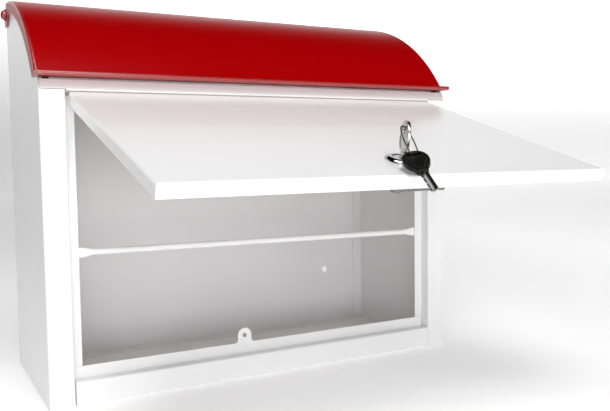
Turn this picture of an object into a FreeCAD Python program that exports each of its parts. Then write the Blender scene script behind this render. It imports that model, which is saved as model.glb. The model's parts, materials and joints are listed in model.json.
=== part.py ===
import FreeCAD, Part
import math
import os
import re
import Sketcher
from FreeCAD import Placement, Rotation, Vector

# Wall mounted post box of folded steel sheet, in millimetres.
# The pieces are drawn with x across the box, y = 0 on the wall, -y to the front
# and z = 0 on the underside. Every piece is then lowered by wall_centre_height,
# so that the origin of the finished model is the middle of the four wall holes.

DIMENSIONS = (
    ("body_width", 380.0, "outside to outside of the side panels"),
    ("body_depth", 150.0, "wall to front face"),
    ("slant_rise", 7.3, "height of the slanted strip below the lid"),
    ("slant_depth", 4.0, "how far the slanted strip leans back"),
    ("gauge", 1.0, "sheet of the box"),
    ("fold_radius", 0.6, "inside radius of the folds"),
    ("seam_gap", 0.2, "gap between sheets that are cut separately"),
    ("stile_width", 19.5, "front face of each side panel"),
    ("recess_depth", 10.6, "front face to inner lip, where the door lies"),
    ("lip_width", 8.0, "inner lip beside the opening"),
    ("rail_gap", 0.5, "gap between a stile and the rails that end on it"),
    ("rail_height", 19.2, "front face below the door"),
    ("rail_lip", 8.9, "inner lip above the bottom ledge"),
    ("header_lip", 8.6, "inner lip below the header"),
    ("header_shelf", 12.0, "flat strip on top of the header"),
    ("rear_flange", 12.0, "return flange of a side panel along the wall"),
    ("back_flange", 15.0, "foot of the back panel on the floor"),
    ("back_drop", 14.0, "top of the lid to the top of the back panel"),
    ("back_top_flange", 8.0, "stiffening fold along the top of the back panel"),
    ("wall_centre_height", 150.0, "underside to the middle of the wall holes"),
    ("wall_hole_across", 280.0, "wall holes, side to side"),
    ("wall_hole_upright", 180.0, "wall holes, low to high"),
    ("wall_hole_bore", 6.5, "diameter of a wall hole"),
    ("tab_offset", 23.2, "keeper tab, left of the middle"),
    ("tab_width", 12.9, "keeper tab"),
    ("tab_rise", 12.8, "keeper tab above the bottom lip"),
    ("tab_hole_bore", 4.0, "diameter of the hole in the keeper tab"),
    ("tab_root_radius", 3.0, "fillet where the tab leaves the lip"),
    ("bar_height", 115.6, "underside to the middle of the letter bar"),
    ("bar_diameter", 5.4, "letter bar"),
    ("bar_drop", 3.4, "how much lower the right end of the bar is welded"),
    ("bar_end_length", 13.0, "flattened end of the letter bar"),
    ("bar_end_height", 8.0, "flattened end of the letter bar"),
    ("bar_end_gauge", 2.0, "flattened end of the letter bar"),
    ("lid_top", 330.0, "underside of the box to the top of the lid"),
    ("lid_radius", 178.0, "outside of the barrel"),
    ("lid_gauge", 1.0, "sheet of the lid"),
    ("lid_gap", 1.0, "lid sheet above the arched side panels"),
    ("lid_side_gap", 0.5, "lid flange beside a side panel"),
    ("lid_flange", 11.0, "side flange of the lid, measured towards the barrel's centre"),
    ("lid_rear_gap", 9.0, "wall to the rear edge of the lid sheet"),
    ("lid_foot_inset", 5.3, "front face back to the line where the barrel meets the lip"),
    ("lip_reach", 11.9, "front lip beyond that line"),
    ("lip_thickness", 3.7, "hemmed front lip"),
    ("hem_return", 4.6, "end of the hem behind the foot of the barrel"),
    ("lid_edge_radius", 1.6, "outside radius between barrel and side flange"),
    ("pivot_back", 6.0, "wall to the lid pivot"),
    ("pivot_drop", 11.0, "top of the lid to the lid pivot"),
    ("pivot_diameter", 5.0, "shank of a pivot screw"),
    ("pivot_head", 8.0, "diameter of a pivot screw's head"),
    ("pivot_head_height", 2.8, "dome of a pivot screw's head"),
    ("pivot_washer_gauge", 1.0, "washer under the head"),
    ("pivot_nut_flats", 8.0, "across the flats of the pivot nut"),
    ("pivot_nut_height", 3.4, "pivot nut"),
    ("pivot_tail", 1.0, "end of a pivot screw beyond its nut"),
    ("pivot_rim", 2.8, "lid's ear behind and above the pivot screw"),
    ("ear_depth", 25.0, "front of the lid's ear, from the wall"),
    ("ear_bottom", 10.5, "lid's ear below the pivot"),
    ("free_gap", 0.3, "clearance between pieces that move past each other"),
    ("running_gap", 0.06, "radial clearance of a turning fit"),
    ("bumper_width", 5.0, "rubber bumper under the lid"),
    ("bumper_inset", 6.5, "side of the box to the middle of a bumper"),
    ("hinge_drop", 4.0, "start of the slanted strip down to the door's hinge pin"),
    ("hinge_pin_diameter", 2.4, "door hinge pin"),
    ("door_gauge", 1.0, "sheet of the door"),
    ("door_side_gap", 1.7, "door beside a stile"),
    ("door_foot_gap", 1.3, "door above the bottom ledge when shut"),
    ("door_flange", 9.0, "depth of the door pan"),
    ("door_flange_start", 5.0, "side flanges start below the hinge pin"),
    ("curl_angle", 262.0, "how far the door's top edge is rolled round the pin"),
    ("door_open_angle", 73.3, "door at rest, measured from shut"),
    ("lock_offset", 6.0, "lock, right of the middle"),
    ("lock_edge_distance", 29.7, "lock to the free edge of the door"),
    ("bezel_diameter", 22.0, "lock bezel"),
    ("bezel_height", 2.6, "lock bezel"),
    ("barrel_diameter", 16.4, "lock barrel"),
    ("barrel_flats", 14.6, "across the flats of the lock barrel"),
    ("barrel_length", 15.8, "lock barrel behind the door face"),
    ("plug_diameter", 12.0, "turning core of the lock"),
    ("plug_chamfer", 0.4, "bevel on the face of the core"),
    ("tail_flats", 6.4, "square tail of the core"),
    ("nut_flats", 21.0, "across the flats of the lock nut"),
    ("nut_height", 3.2, "lock nut"),
    ("cam_depth", 17.8, "door face to the cam"),
    ("cam_gauge", 1.6, "cam"),
    ("cam_length", 40.0, "middle of the lock to the tip of the cam"),
    ("cam_width", 12.5, "cam"),
    ("cam_hub", 14.0, "diameter of the cam's round end"),
    ("cam_corner", 1.0, "blunted corner at the tip of the cam"),
    ("cam_tip_cut", 4.0, "slanted corner at the tip of the cam"),
    ("cam_washer_gauge", 0.5, "washer on the cam"),
    ("cam_washer_width", 10.5, "washer on the cam"),
    ("cam_screw_flats", 7.0, "across the flats of the cam screw"),
    ("cam_screw_head", 1.4, "head of the cam screw"),
    ("cam_screw_thread", 3.6, "diameter of the cam screw's thread"),
    ("cam_screw_bite", 0.8, "thread of the cam screw inside the core"),
    ("keyway_angle", 113.0, "flat of the key, turned from the cam"),
    ("key_gauge", 2.0, "key"),
    ("key_point", 1.6, "pointed end of a key blade"),
    ("key_blade_width", 6.0, "key blade"),
    ("key_blade_length", 15.0, "key blade inside the lock"),
    ("key_neck", 3.2, "key stem between the lock and the bow"),
    ("key_bow_width", 21.0, "key bow"),
    ("key_bow_height", 21.0, "key bow"),
    ("key_hole_bore", 6.0, "hole in the key that stands in the lock"),
    ("key_hole_inset", 5.6, "end of a key to the middle of its hole"),
    ("key_slot_gap", 0.15, "key blade in its slot, each side"),
    ("ring_radius", 11.95, "key ring, middle of the wire"),
    ("ring_wire", 1.1, "key ring, inside edge to outside edge"),
    ("ring_gauge", 0.9, "key ring, thickness of the flattened wire"),
    ("spare_head_width", 17.0, "plastic head of the spare key"),
    ("spare_head_length", 23.5, "plastic head of the spare key"),
    ("spare_head_gauge", 4.2, "plastic head of the spare key"),
    ("spare_slot_width", 10.0, "long hole in the plastic head"),
    ("spare_slot_height", 5.6, "long hole in the plastic head"),
    ("spare_neck_width", 11.0, "shoulder of the plastic head"),
    ("spare_neck_length", 5.5, "shoulder of the plastic head"),
    ("spare_blade_length", 25.5, "blade of the spare key outside its head"),
)

# Lengths that follow from the driving dimensions, written once.
HALF = "(body_width / 2)"
FRONT = "(-body_depth)"
INNER_HALF = "(body_width / 2 - gauge - seam_gap)"
BAY_HALF = "(body_width / 2 - stile_width)"
RAIL_HALF = "(body_width / 2 - stile_width - rail_gap)"
LIP_HALF = "(body_width / 2 - stile_width - lip_width)"
RECESS = "(-body_depth + recess_depth)"
BARREL_CENTRE = "(lid_top - lid_radius)"
ARCH_RADIUS = "(lid_radius - lid_gauge - lid_gap)"
SLANT_TOP = f"({BARREL_CENTRE} + sqrt({ARCH_RADIUS} ^ 2 - (body_depth - slant_depth) ^ 2))"
SHOULDER = f"({SLANT_TOP} - slant_rise)"
SLANT_TURN = "atan(slant_depth / slant_rise)"
BACK_TOP = "(lid_top - back_drop)"
PIVOT_HEIGHT = "(lid_top - pivot_drop)"
LID_HALF = "(body_width / 2 + lid_side_gap + lid_gauge)"
FOOT_DEPTH = "(body_depth - lid_foot_inset)"
LID_FOOT = f"({BARREL_CENTRE} + sqrt(lid_radius ^ 2 - {FOOT_DEPTH} ^ 2))"
LIP_UNDER = f"({LID_FOOT} - lip_thickness)"
CURL_INNER = "(hinge_pin_diameter / 2 + running_gap)"
CURL_OUTER = f"({CURL_INNER} + door_gauge)"
HINGE_HEIGHT = f"({SHOULDER} - hinge_drop)"
HEADER_FOOT = f"({HINGE_HEIGHT} + {CURL_OUTER} + free_gap)"
HINGE_BACK = f"(-body_depth + {CURL_OUTER})"
DOOR_HALF = "(body_width / 2 - stile_width - door_side_gap)"
DOOR_LENGTH = f"({HINGE_HEIGHT} - rail_height - door_foot_gap)"
LOCK_DROP = f"({DOOR_LENGTH} - lock_edge_distance)"

doc = FreeCAD.newDocument("post_box")
sheet = doc.addObject("Spreadsheet::Sheet", "Dims")
pieces = []


def fill_sheet():
    """Write the driving dimensions into the sheet, one row each."""
    for row, (alias, size, note) in enumerate(DIMENSIONS, start=1):
        sheet.set(f"A{row}", alias.replace("_", " "))
        sheet.set(f"B{row}", str(size))
        sheet.setAlias(f"B{row}", alias)
        sheet.set(f"C{row}", note)
    doc.recompute()


ALIASES = {alias for alias, size, note in DIMENSIONS}


def bound(text):
    """Put the sheet's name before each alias in an expression."""
    return re.sub(r"[a-z_]+", lambda word: f"Dims.{word[0]}" if word[0] in ALIASES else word[0], text)


def number(text):
    """The present value of an expression."""
    found = sheet.evalExpression(bound(text))
    return float(getattr(found, "Value", found))


def new_body(label):
    """An empty body that hangs below the wall holes and is kept as a piece."""
    body = doc.addObject("PartDesign::Body", label)
    body.setExpression("Placement.Base.z", bound("-wall_centre_height"))
    pieces.append(body)
    return body


def origin_feature(body, role):
    return [item for item in body.Origin.OriginFeatures if item.Role == role][0]


def new_sketch(body, name, plane, height="0"):
    """A sketch on one of the body's own origin planes, moved along its normal."""
    sketch = body.newObject("Sketcher::SketchObject", name)
    sketch.AttachmentSupport = (origin_feature(body, plane), [""])
    sketch.MapMode = "FlatFace"
    sketch.setExpression("AttachmentOffset.Base.z", bound(height))
    return sketch


def fix(sketch, kind, geometry, point, text):
    """Hold one coordinate of a point at an expression."""
    index = sketch.addConstraint(Sketcher.Constraint(kind, -1, 1, geometry, point, number(text)))
    sketch.setExpression(f"Constraints[{index}]", bound(text))


def polygon(sketch, corners):
    """A closed outline of straight lines with every corner bound."""
    places = [Vector(number(x), number(y), 0) for x, y in corners]
    first = sketch.GeometryCount
    count = len(corners)
    for i in range(count):
        sketch.addGeometry(Part.LineSegment(places[i], places[(i + 1) % count]))
    for i in range(count):
        following = first + (i + 1) % count
        sketch.addConstraint(Sketcher.Constraint("Coincident", first + i, 2, following, 1))
    for i, (x, y) in enumerate(corners):
        fix(sketch, "DistanceX", first + i, 1, x)
        fix(sketch, "DistanceY", first + i, 1, y)


def arc_outline(sketch, corners, centre, radius):
    """A closed outline whose last side is an arc from the last corner to the first.

    The arc fixes the height of the first corner, so only its x is bound there.
    """
    places = [Vector(number(x), number(y), 0) for x, y in corners]
    middle = Vector(number(centre[0]), number(centre[1]), 0)
    first = sketch.GeometryCount
    for start, end in zip(places[:-1], places[1:]):
        sketch.addGeometry(Part.LineSegment(start, end))
    angles = [math.atan2(p.y - middle.y, p.x - middle.x) for p in (places[0], places[-1])]
    circle = Part.Circle(middle, Vector(0, 0, 1), number(radius))
    arc = sketch.addGeometry(Part.ArcOfCircle(circle, angles[0], angles[1]))
    for i in range(first, arc - 1):
        sketch.addConstraint(Sketcher.Constraint("Coincident", i, 2, i + 1, 1))
    sketch.addConstraint(Sketcher.Constraint("Coincident", arc - 1, 2, arc, 2))
    sketch.addConstraint(Sketcher.Constraint("Coincident", arc, 1, first, 1))
    fix(sketch, "DistanceX", arc, 3, centre[0])
    fix(sketch, "DistanceY", arc, 3, centre[1])
    fix(sketch, "DistanceX", first, 1, corners[0][0])
    for i, (x, y) in enumerate(corners[1:-1], start=first + 1):
        fix(sketch, "DistanceX", i, 1, x)
        fix(sketch, "DistanceY", i, 1, y)
    fix(sketch, "DistanceX", arc - 1, 2, corners[-1][0])
    fix(sketch, "DistanceY", arc - 1, 2, corners[-1][1])


def circle(sketch, x, y, diameter):
    place = Vector(number(x), number(y), 0)
    index = sketch.addGeometry(Part.Circle(place, Vector(0, 0, 1), number(diameter) / 2))
    fix(sketch, "DistanceX", index, 3, x)
    fix(sketch, "DistanceY", index, 3, y)
    size = sketch.addConstraint(Sketcher.Constraint("Diameter", index, number(diameter)))
    sketch.setExpression(f"Constraints[{size}]", bound(diameter))


def pad(body, name, sketch, length, symmetric=False, backwards=False):
    feature = body.newObject("PartDesign::Pad", name)
    feature.Profile = sketch
    feature.setExpression("Length", bound(length))
    feature.SideType = "Symmetric" if symmetric else "One side"
    feature.Reversed = backwards
    doc.recompute()
    return feature


def pocket(body, name, sketch, length, symmetric=False, backwards=False):
    """A cut that has to take something away."""
    before = body.Tip.Shape.Volume
    feature = body.newObject("PartDesign::Pocket", name)
    feature.Profile = sketch
    feature.setExpression("Length", bound(length))
    feature.SideType = "Symmetric" if symmetric else "One side"
    feature.Reversed = backwards
    doc.recompute()
    if feature.Shape.Volume >= before:
        raise RuntimeError(f"{name} cuts nothing")
    return feature


def edges_near(shape, places, along):
    """Names of the straight edges that run along an axis through the given places."""
    axis = {"x": Vector(1, 0, 0), "y": Vector(0, 1, 0), "z": Vector(0, 0, 1)}[along]
    names = []
    for index, edge in enumerate(shape.Edges, start=1):
        if edge.Curve.TypeId != "Part::GeomLine":
            continue
        run = edge.Vertexes[-1].Point - edge.Vertexes[0].Point
        if run.cross(axis).Length > 1e-6 or run.Length < 1e-6:
            continue
        for place in places:
            offset = edge.Vertexes[0].Point - place
            if (offset - axis * offset.dot(axis)).Length < 1e-3:
                names.append(f"Edge{index}")
    return names


def fillet(body, name, edges, radius):
    """Round the named edges of the body's last feature."""
    if not edges:
        raise RuntimeError(f"{name} finds no edge")
    base = body.Tip
    feature = body.newObject("PartDesign::Fillet", name)
    feature.Base = (base, edges)
    feature.setExpression("Radius", bound(radius))
    doc.recompute()
    if feature.Shape.isNull() or not feature.Shape.isValid():
        raise RuntimeError(f"{name} has no valid shape")


def round_edges(body, name, places, along, radius):
    """Round the edges of the last feature that pass through the given places."""
    fillet(body, name, edges_near(body.Tip.Shape, places, along), radius)


def at(x="0", y="0", z="0"):
    return Vector(number(x), number(y), number(z))


def side_panel(label, side):
    """Arched side with its front folded into a stile, a step and an inner lip."""
    body = new_body(label)
    left = side == "-"
    outline = new_sketch(body, f"{label}_outline", "YZ_Plane", f"{side}{HALF}")
    corners = (("0", f"{BARREL_CENTRE} + {ARCH_RADIUS}"), ("0", "0"), (FRONT, "0"),
               (FRONT, SHOULDER), (f"{FRONT} + slant_depth", SLANT_TOP))
    arc_outline(outline, corners, ("0", BARREL_CENTRE), ARCH_RADIUS)
    pad(body, f"{label}_plate", outline, "gauge", backwards=not left)

    def across(distance):
        return f"{side}({HALF} - {distance})"

    stile = new_sketch(body, f"{label}_stile_plan", "XY_Plane")
    polygon(stile, ((across("0"), FRONT), (across("stile_width"), FRONT),
                    (across("stile_width"), f"{RECESS} + gauge"),
                    (across("(stile_width - gauge)"), f"{RECESS} + gauge"),
                    (across("(stile_width - gauge)"), f"{FRONT} + gauge"),
                    (across("0"), f"{FRONT} + gauge")))
    pad(body, f"{label}_stile", stile, f"{SHOULDER} - gauge / 2")
    lip = new_sketch(body, f"{label}_lip_plan", "XY_Plane", "rail_height + rail_lip + seam_gap")
    polygon(lip, ((across("(stile_width - gauge)"), RECESS),
                  (across("(stile_width + lip_width)"), RECESS),
                  (across("(stile_width + lip_width)"), f"{RECESS} + gauge"),
                  (across("(stile_width - gauge)"), f"{RECESS} + gauge")))
    pad(body, f"{label}_lip", lip, f"{HEADER_FOOT} - rail_height - rail_lip - 2 * seam_gap")
    flange = new_sketch(body, f"{label}_rear_plan", "XY_Plane", "2 * gauge + fold_radius + seam_gap")
    polygon(flange, ((across("gauge / 2"), "-gauge"), (across("rear_flange"), "-gauge"),
                     (across("rear_flange"), "-2 * gauge"), (across("gauge / 2"), "-2 * gauge")))
    pad(body, f"{label}_rear", flange, f"{BACK_TOP} - back_top_flange - 2 * gauge")
    pivot = new_sketch(body, f"{label}_pivot_hole", "YZ_Plane", f"{side}{HALF}")
    circle(pivot, "-pivot_back", PIVOT_HEIGHT, "pivot_diameter")
    pocket(body, f"{label}_pivot_bore", pivot, "2 * gauge", backwards=left)
    hinge = new_sketch(body, f"{label}_hinge_hole", "YZ_Plane", across("(stile_width + gauge)"))
    circle(hinge, HINGE_BACK, HINGE_HEIGHT, "hinge_pin_diameter")
    pocket(body, f"{label}_hinge_bore", hinge, "3 * gauge", backwards=not left)
    round_edges(body, f"{label}_rear_corner",
                [at(z=f"{BARREL_CENTRE} + {ARCH_RADIUS}")], "x", "pivot_back + 2 * gauge")
    outside = [at(across("0"), FRONT), at(across("stile_width"), FRONT),
               at(across("(stile_width - gauge)"), f"{RECESS} + gauge")]
    inside = [at(across("gauge"), f"{FRONT} + gauge"),
              at(across("(stile_width - gauge)"), f"{FRONT} + gauge"),
              at(across("stile_width"), RECESS)]
    round_edges(body, f"{label}_outer_folds", outside, "z", "fold_radius + gauge")
    round_edges(body, f"{label}_inner_folds", inside, "z", "fold_radius")
    return body


def back_panel():
    """Flat back with a foot on the floor, a stiffening fold on top and four wall holes."""
    body = new_body("back_panel")
    section = new_sketch(body, "back_section", "YZ_Plane")
    polygon(section, (("0", "gauge"), ("-back_flange", "gauge"), ("-back_flange", "2 * gauge"),
                      ("-gauge", "2 * gauge"), ("-gauge", f"{BACK_TOP} - gauge"),
                      ("-back_top_flange", f"{BACK_TOP} - gauge"),
                      ("-back_top_flange", BACK_TOP), ("0", BACK_TOP)))
    pad(body, "back_sheet", section, f"2 * {INNER_HALF}", symmetric=True)
    notch = new_sketch(body, "back_notch_plan", "XY_Plane", f"{BACK_TOP} + gauge")
    for side in ("-", ""):
        inner = f"{side}({HALF} - rear_flange - seam_gap)"
        outer = f"{side}({HALF} + gauge)"
        polygon(notch, ((inner, "-gauge"), (outer, "-gauge"),
                        (outer, "-back_top_flange - gauge"), (inner, "-back_top_flange - gauge")))
    pocket(body, "back_notch", notch, "3 * gauge")
    round_edges(body, "back_outer_folds", [at(y="0", z="gauge"), at(y="0", z=BACK_TOP)],
                "x", "fold_radius + gauge")
    round_edges(body, "back_inner_folds",
                [at(y="-gauge", z="2 * gauge"), at(y="-gauge", z=f"{BACK_TOP} - gauge")],
                "x", "fold_radius")
    holes = new_sketch(body, "wall_holes", "XZ_Plane")
    for across in ("-wall_hole_across / 2", "wall_hole_across / 2"):
        for upright in ("-wall_hole_upright / 2", "wall_hole_upright / 2"):
            circle(holes, across, f"wall_centre_height + {upright}", "wall_hole_bore")
    pocket(body, "wall_bores", holes, "4 * gauge", symmetric=True)
    return body


def floor_pan():
    """Floor folded up into the front rail, the ledge and the bottom lip with its keeper tab."""
    body = new_body("floor_pan")
    section = new_sketch(body, "rail_section", "YZ_Plane")
    behind = f"{RECESS} + gauge + seam_gap"
    polygon(section, ((FRONT, "0"), (FRONT, "rail_height"), (RECESS, "rail_height"),
                      (RECESS, "rail_height + rail_lip"), (f"{RECESS} + gauge", "rail_height + rail_lip"),
                      (f"{RECESS} + gauge", "rail_height - gauge"),
                      (f"{FRONT} + gauge", "rail_height - gauge"), (f"{FRONT} + gauge", "gauge"),
                      (behind, "gauge"), (behind, "0")))
    pad(body, "front_rail", section, f"2 * {RAIL_HALF}", symmetric=True)
    plan = new_sketch(body, "floor_plan", "XY_Plane")
    corner = f"({BAY_HALF} + gauge + seam_gap)"
    front = f"{FRONT} + gauge + seam_gap"
    polygon(plan, ((f"-{INNER_HALF}", "0"), (f"-{INNER_HALF}", front), (f"-{corner}", front),
                   (f"-{corner}", behind), (corner, behind), (corner, front),
                   (INNER_HALF, front), (INNER_HALF, "0")))
    pad(body, "floor_sheet", plan, "gauge")
    round_edges(body, "rail_outer_folds",
                [at(y=FRONT), at(y=FRONT, z="rail_height"),
                 at(y=f"{RECESS} + gauge", z="rail_height - gauge")], "x", "fold_radius + gauge")
    round_edges(body, "rail_inner_folds",
                [at(y=f"{FRONT} + gauge", z="gauge"), at(y=f"{FRONT} + gauge", z="rail_height - gauge"),
                 at(y=RECESS, z="rail_height")], "x", "fold_radius")
    tab = new_sketch(body, "tab_outline", "XZ_Plane", f"-{RECESS}")
    lip_top = "rail_height + rail_lip"
    left, right = "-tab_offset - tab_width / 2", "-tab_offset + tab_width / 2"
    polygon(tab, ((left, f"{lip_top} - gauge"), (left, f"{lip_top} + tab_rise"),
                  (right, f"{lip_top} + tab_rise"), (right, f"{lip_top} - gauge")))
    pad(body, "keeper_tab", tab, "gauge", backwards=True)
    tops = [at(side, "0", f"{lip_top} + tab_rise") for side in (left, right)]
    round_edges(body, "tab_round_top", tops, "y", "tab_width / 2 - gauge / 10")
    roots = [at(side, "0", lip_top) for side in (left, right)]
    round_edges(body, "tab_roots", roots, "y", "tab_root_radius")
    hole = new_sketch(body, "tab_hole", "XZ_Plane", f"-{RECESS} + gauge")
    circle(hole, "-tab_offset", f"{lip_top} + tab_rise - tab_width / 2", "tab_hole_bore")
    pocket(body, "tab_bore", hole, "3 * gauge")
    return body


def header_rail():
    """Front strip above the door: inner lip, soffit, short face, slant and a shelf behind it."""
    body = new_body("header_rail")
    slant = new_sketch(body, "slant_section", "YZ_Plane")
    foot_in = f"{SHOULDER} - gauge * tan({SLANT_TURN} / 2)"
    top_in = f"{FRONT} + slant_depth + gauge * tan((90 deg - {SLANT_TURN}) / 2)"
    shelf_end = f"{FRONT} + slant_depth + header_shelf"
    polygon(slant, ((FRONT, SHOULDER), (f"{FRONT} + slant_depth", SLANT_TOP),
                    (shelf_end, SLANT_TOP), (shelf_end, f"{SLANT_TOP} - gauge"),
                    (top_in, f"{SLANT_TOP} - gauge"), (f"{FRONT} + gauge", foot_in)))
    pad(body, "header_slant", slant, f"2 * {INNER_HALF}", symmetric=True)
    face = new_sketch(body, "face_section", "YZ_Plane")
    polygon(face, ((FRONT, HEADER_FOOT), (FRONT, SHOULDER),
                   (f"{FRONT} + gauge", foot_in), (f"{FRONT} + gauge", f"{HEADER_FOOT} + gauge"),
                   (f"{RECESS} + gauge", f"{HEADER_FOOT} + gauge"), (f"{RECESS} + gauge", HEADER_FOOT)))
    pad(body, "header_face", face, f"2 * {RAIL_HALF}", symmetric=True)
    lip = new_sketch(body, "header_lip_section", "YZ_Plane")
    polygon(lip, ((RECESS, f"{HEADER_FOOT} - header_lip"), (RECESS, f"{HEADER_FOOT} + gauge / 2"),
                  (f"{RECESS} + gauge", f"{HEADER_FOOT} + gauge / 2"),
                  (f"{RECESS} + gauge", f"{HEADER_FOOT} - header_lip")))
    pad(body, "header_inner_lip", lip, f"2 * ({LIP_HALF} - seam_gap)", symmetric=True)
    round_edges(body, "header_folds",
                [at(y=FRONT, z=HEADER_FOOT), at(y=f"{FRONT} + slant_depth", z=SLANT_TOP),
                 at(y=RECESS, z=HEADER_FOOT)], "x", "fold_radius")
    return body


def letter_bar():
    """Round bar across the opening with flattened ends welded behind the side lips."""
    body = new_body("letter_bar")
    reach = f"({BAY_HALF} - gauge / 2)"
    neck = f"({reach} - bar_end_length)"
    rod = new_sketch(body, "bar_section", "YZ_Plane")
    circle(rod, "0", "0", "bar_diameter")
    pad(body, "bar_rod", rod, f"2 * {neck} + bar_end_gauge", symmetric=True)
    ends = new_sketch(body, "bar_end_face", "XZ_Plane", "bar_diameter / 2")
    for side in ("-", ""):
        polygon(ends, ((f"{side}{neck}", "-bar_end_height / 2"), (f"{side}{reach}", "-bar_end_height / 2"),
                       (f"{side}{reach}", "bar_end_height / 2"), (f"{side}{neck}", "bar_end_height / 2")))
    pad(body, "bar_ends", ends, "bar_end_gauge", backwards=True)
    places = [at(f"{side}{reach}", "0", f"{sign}bar_end_height / 2")
              for side in ("-", "") for sign in ("-", "")]
    round_edges(body, "bar_end_corners", places, "y", "bar_end_gauge")
    tilt = math.degrees(math.atan2(number("bar_drop"), 2 * number(LIP_HALF)))
    body.setExpression("Placement.Base.y", bound(f"{RECESS} + gauge + bar_diameter / 2"))
    body.setExpression("Placement.Base.z", bound("bar_height - wall_centre_height"))
    body.Placement.Rotation = Rotation(Vector(0, 1, 0), tilt)
    return body


def bar_between(label, diameter, half_length, back, height):
    """A plain cylinder along x, centred on the box."""
    rod = doc.addObject("Part::Cylinder", label)
    rod.setExpression("Radius", bound(f"{diameter} / 2"))
    rod.setExpression("Height", bound(f"2 * {half_length}"))
    place = Vector(-number(half_length), number(back), number(height) - number("wall_centre_height"))
    rod.Placement = Placement(place, Rotation(Vector(0, 1, 0), 90))
    pieces.append(rod)
    return rod


def turned(body, name, points):
    """Revolve an outline of (radius, height) points about the body's z axis."""
    sketch = new_sketch(body, f"{name}_section", "XZ_Plane")
    polygon(sketch, points)
    feature = body.newObject("PartDesign::Revolution", name)
    feature.Profile = sketch
    feature.ReferenceAxis = (sketch, ["V_Axis"])
    feature.Angle = 360
    doc.recompute()
    return feature


def hexagon(sketch, flats):
    """A closed hexagon round the sketch's origin, flats to left and right."""
    corner = f"({flats} / 2 / cos(30))"
    places = [(f"{corner} * sin({60 * i})", f"{corner} * cos({60 * i})") for i in range(6)]
    polygon(sketch, places)


def loose_body(label):
    """A body that is placed by its caller and isn't a piece by itself."""
    return doc.addObject("PartDesign::Body", label)


def pair(label, source):
    """A piece and its mirror image on the other side of the box, as one group."""
    mirror = doc.addObject("Part::Mirroring", f"{label}_mirrored")
    mirror.Source = source
    mirror.Normal = Vector(1, 0, 0)
    group = doc.addObject("Part::Compound", label)
    group.Links = [source, mirror]
    doc.recompute()
    pieces.append(group)
    return group


def pivot_place(outwards):
    """Frame on the right lid pivot: z outwards from the middle of the box."""
    place = Vector(number(outwards), -number("pivot_back"), number(f"{PIVOT_HEIGHT} - wall_centre_height"))
    return Placement(place, Rotation(Vector(0, 1, 0), 90))


def lid_pivots():
    """Domed screws, washers and nuts that carry the lid's ears on the side panels."""
    seat = f"({LID_HALF} + free_gap)"
    head = f"({seat} + pivot_washer_gauge)"
    tail = "(body_width / 2 - gauge - pivot_nut_height - pivot_tail)"
    screw = loose_body("pivot_screw")
    turned(screw, "pivot_shank", (("0", f"{tail} - {head}"), ("pivot_diameter / 2", f"{tail} - {head}"),
                                  ("pivot_diameter / 2", "0"), ("pivot_head / 2", "0"),
                                  ("pivot_head / 2", "pivot_head_height * 0.4"),
                                  ("pivot_head / 4", "pivot_head_height"), ("0", "pivot_head_height")))
    screw.Placement = pivot_place(head)
    pair("lid_pivot_screws", screw)
    washer = loose_body("pivot_washer")
    rim = "(pivot_head / 2 + pivot_washer_gauge)"
    turned(washer, "pivot_washer_disc", (("pivot_diameter / 2", "0"), (rim, "0"), (rim, "pivot_washer_gauge"),
                                         ("pivot_diameter / 2", "pivot_washer_gauge")))
    washer.Placement = pivot_place(seat)
    pair("lid_pivot_washers", washer)
    nut = loose_body("pivot_nut")
    outline = new_sketch(nut, "pivot_nut_outline", "XY_Plane")
    hexagon(outline, "pivot_nut_flats")
    circle(outline, "0", "0", "pivot_diameter")
    pad(nut, "pivot_nut_hexagon", outline, "pivot_nut_height")
    nut.Placement = pivot_place("(body_width / 2 - gauge - pivot_nut_height)")
    pair("lid_pivot_nuts", nut)


def lid_bumpers():
    """Two rubber pads on the header's shelf that the lid comes down on."""
    bumper = loose_body("bumper")
    plan = new_sketch(bumper, "bumper_plan", "XY_Plane")
    polygon(plan, (("-bumper_width / 2", "0"), ("bumper_width / 2", "0"),
                   ("bumper_width / 2", "bumper_width"), ("-bumper_width / 2", "bumper_width")))
    pad(bumper, "bumper_block", plan, f"{LIP_UNDER} - {SLANT_TOP} - free_gap")
    place = at("body_width / 2 - bumper_inset", f"{FRONT} + slant_depth + fold_radius",
               f"{SLANT_TOP} - wall_centre_height")
    bumper.Placement = Placement(place, Rotation())
    pair("lid_bumpers", bumper)


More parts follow.
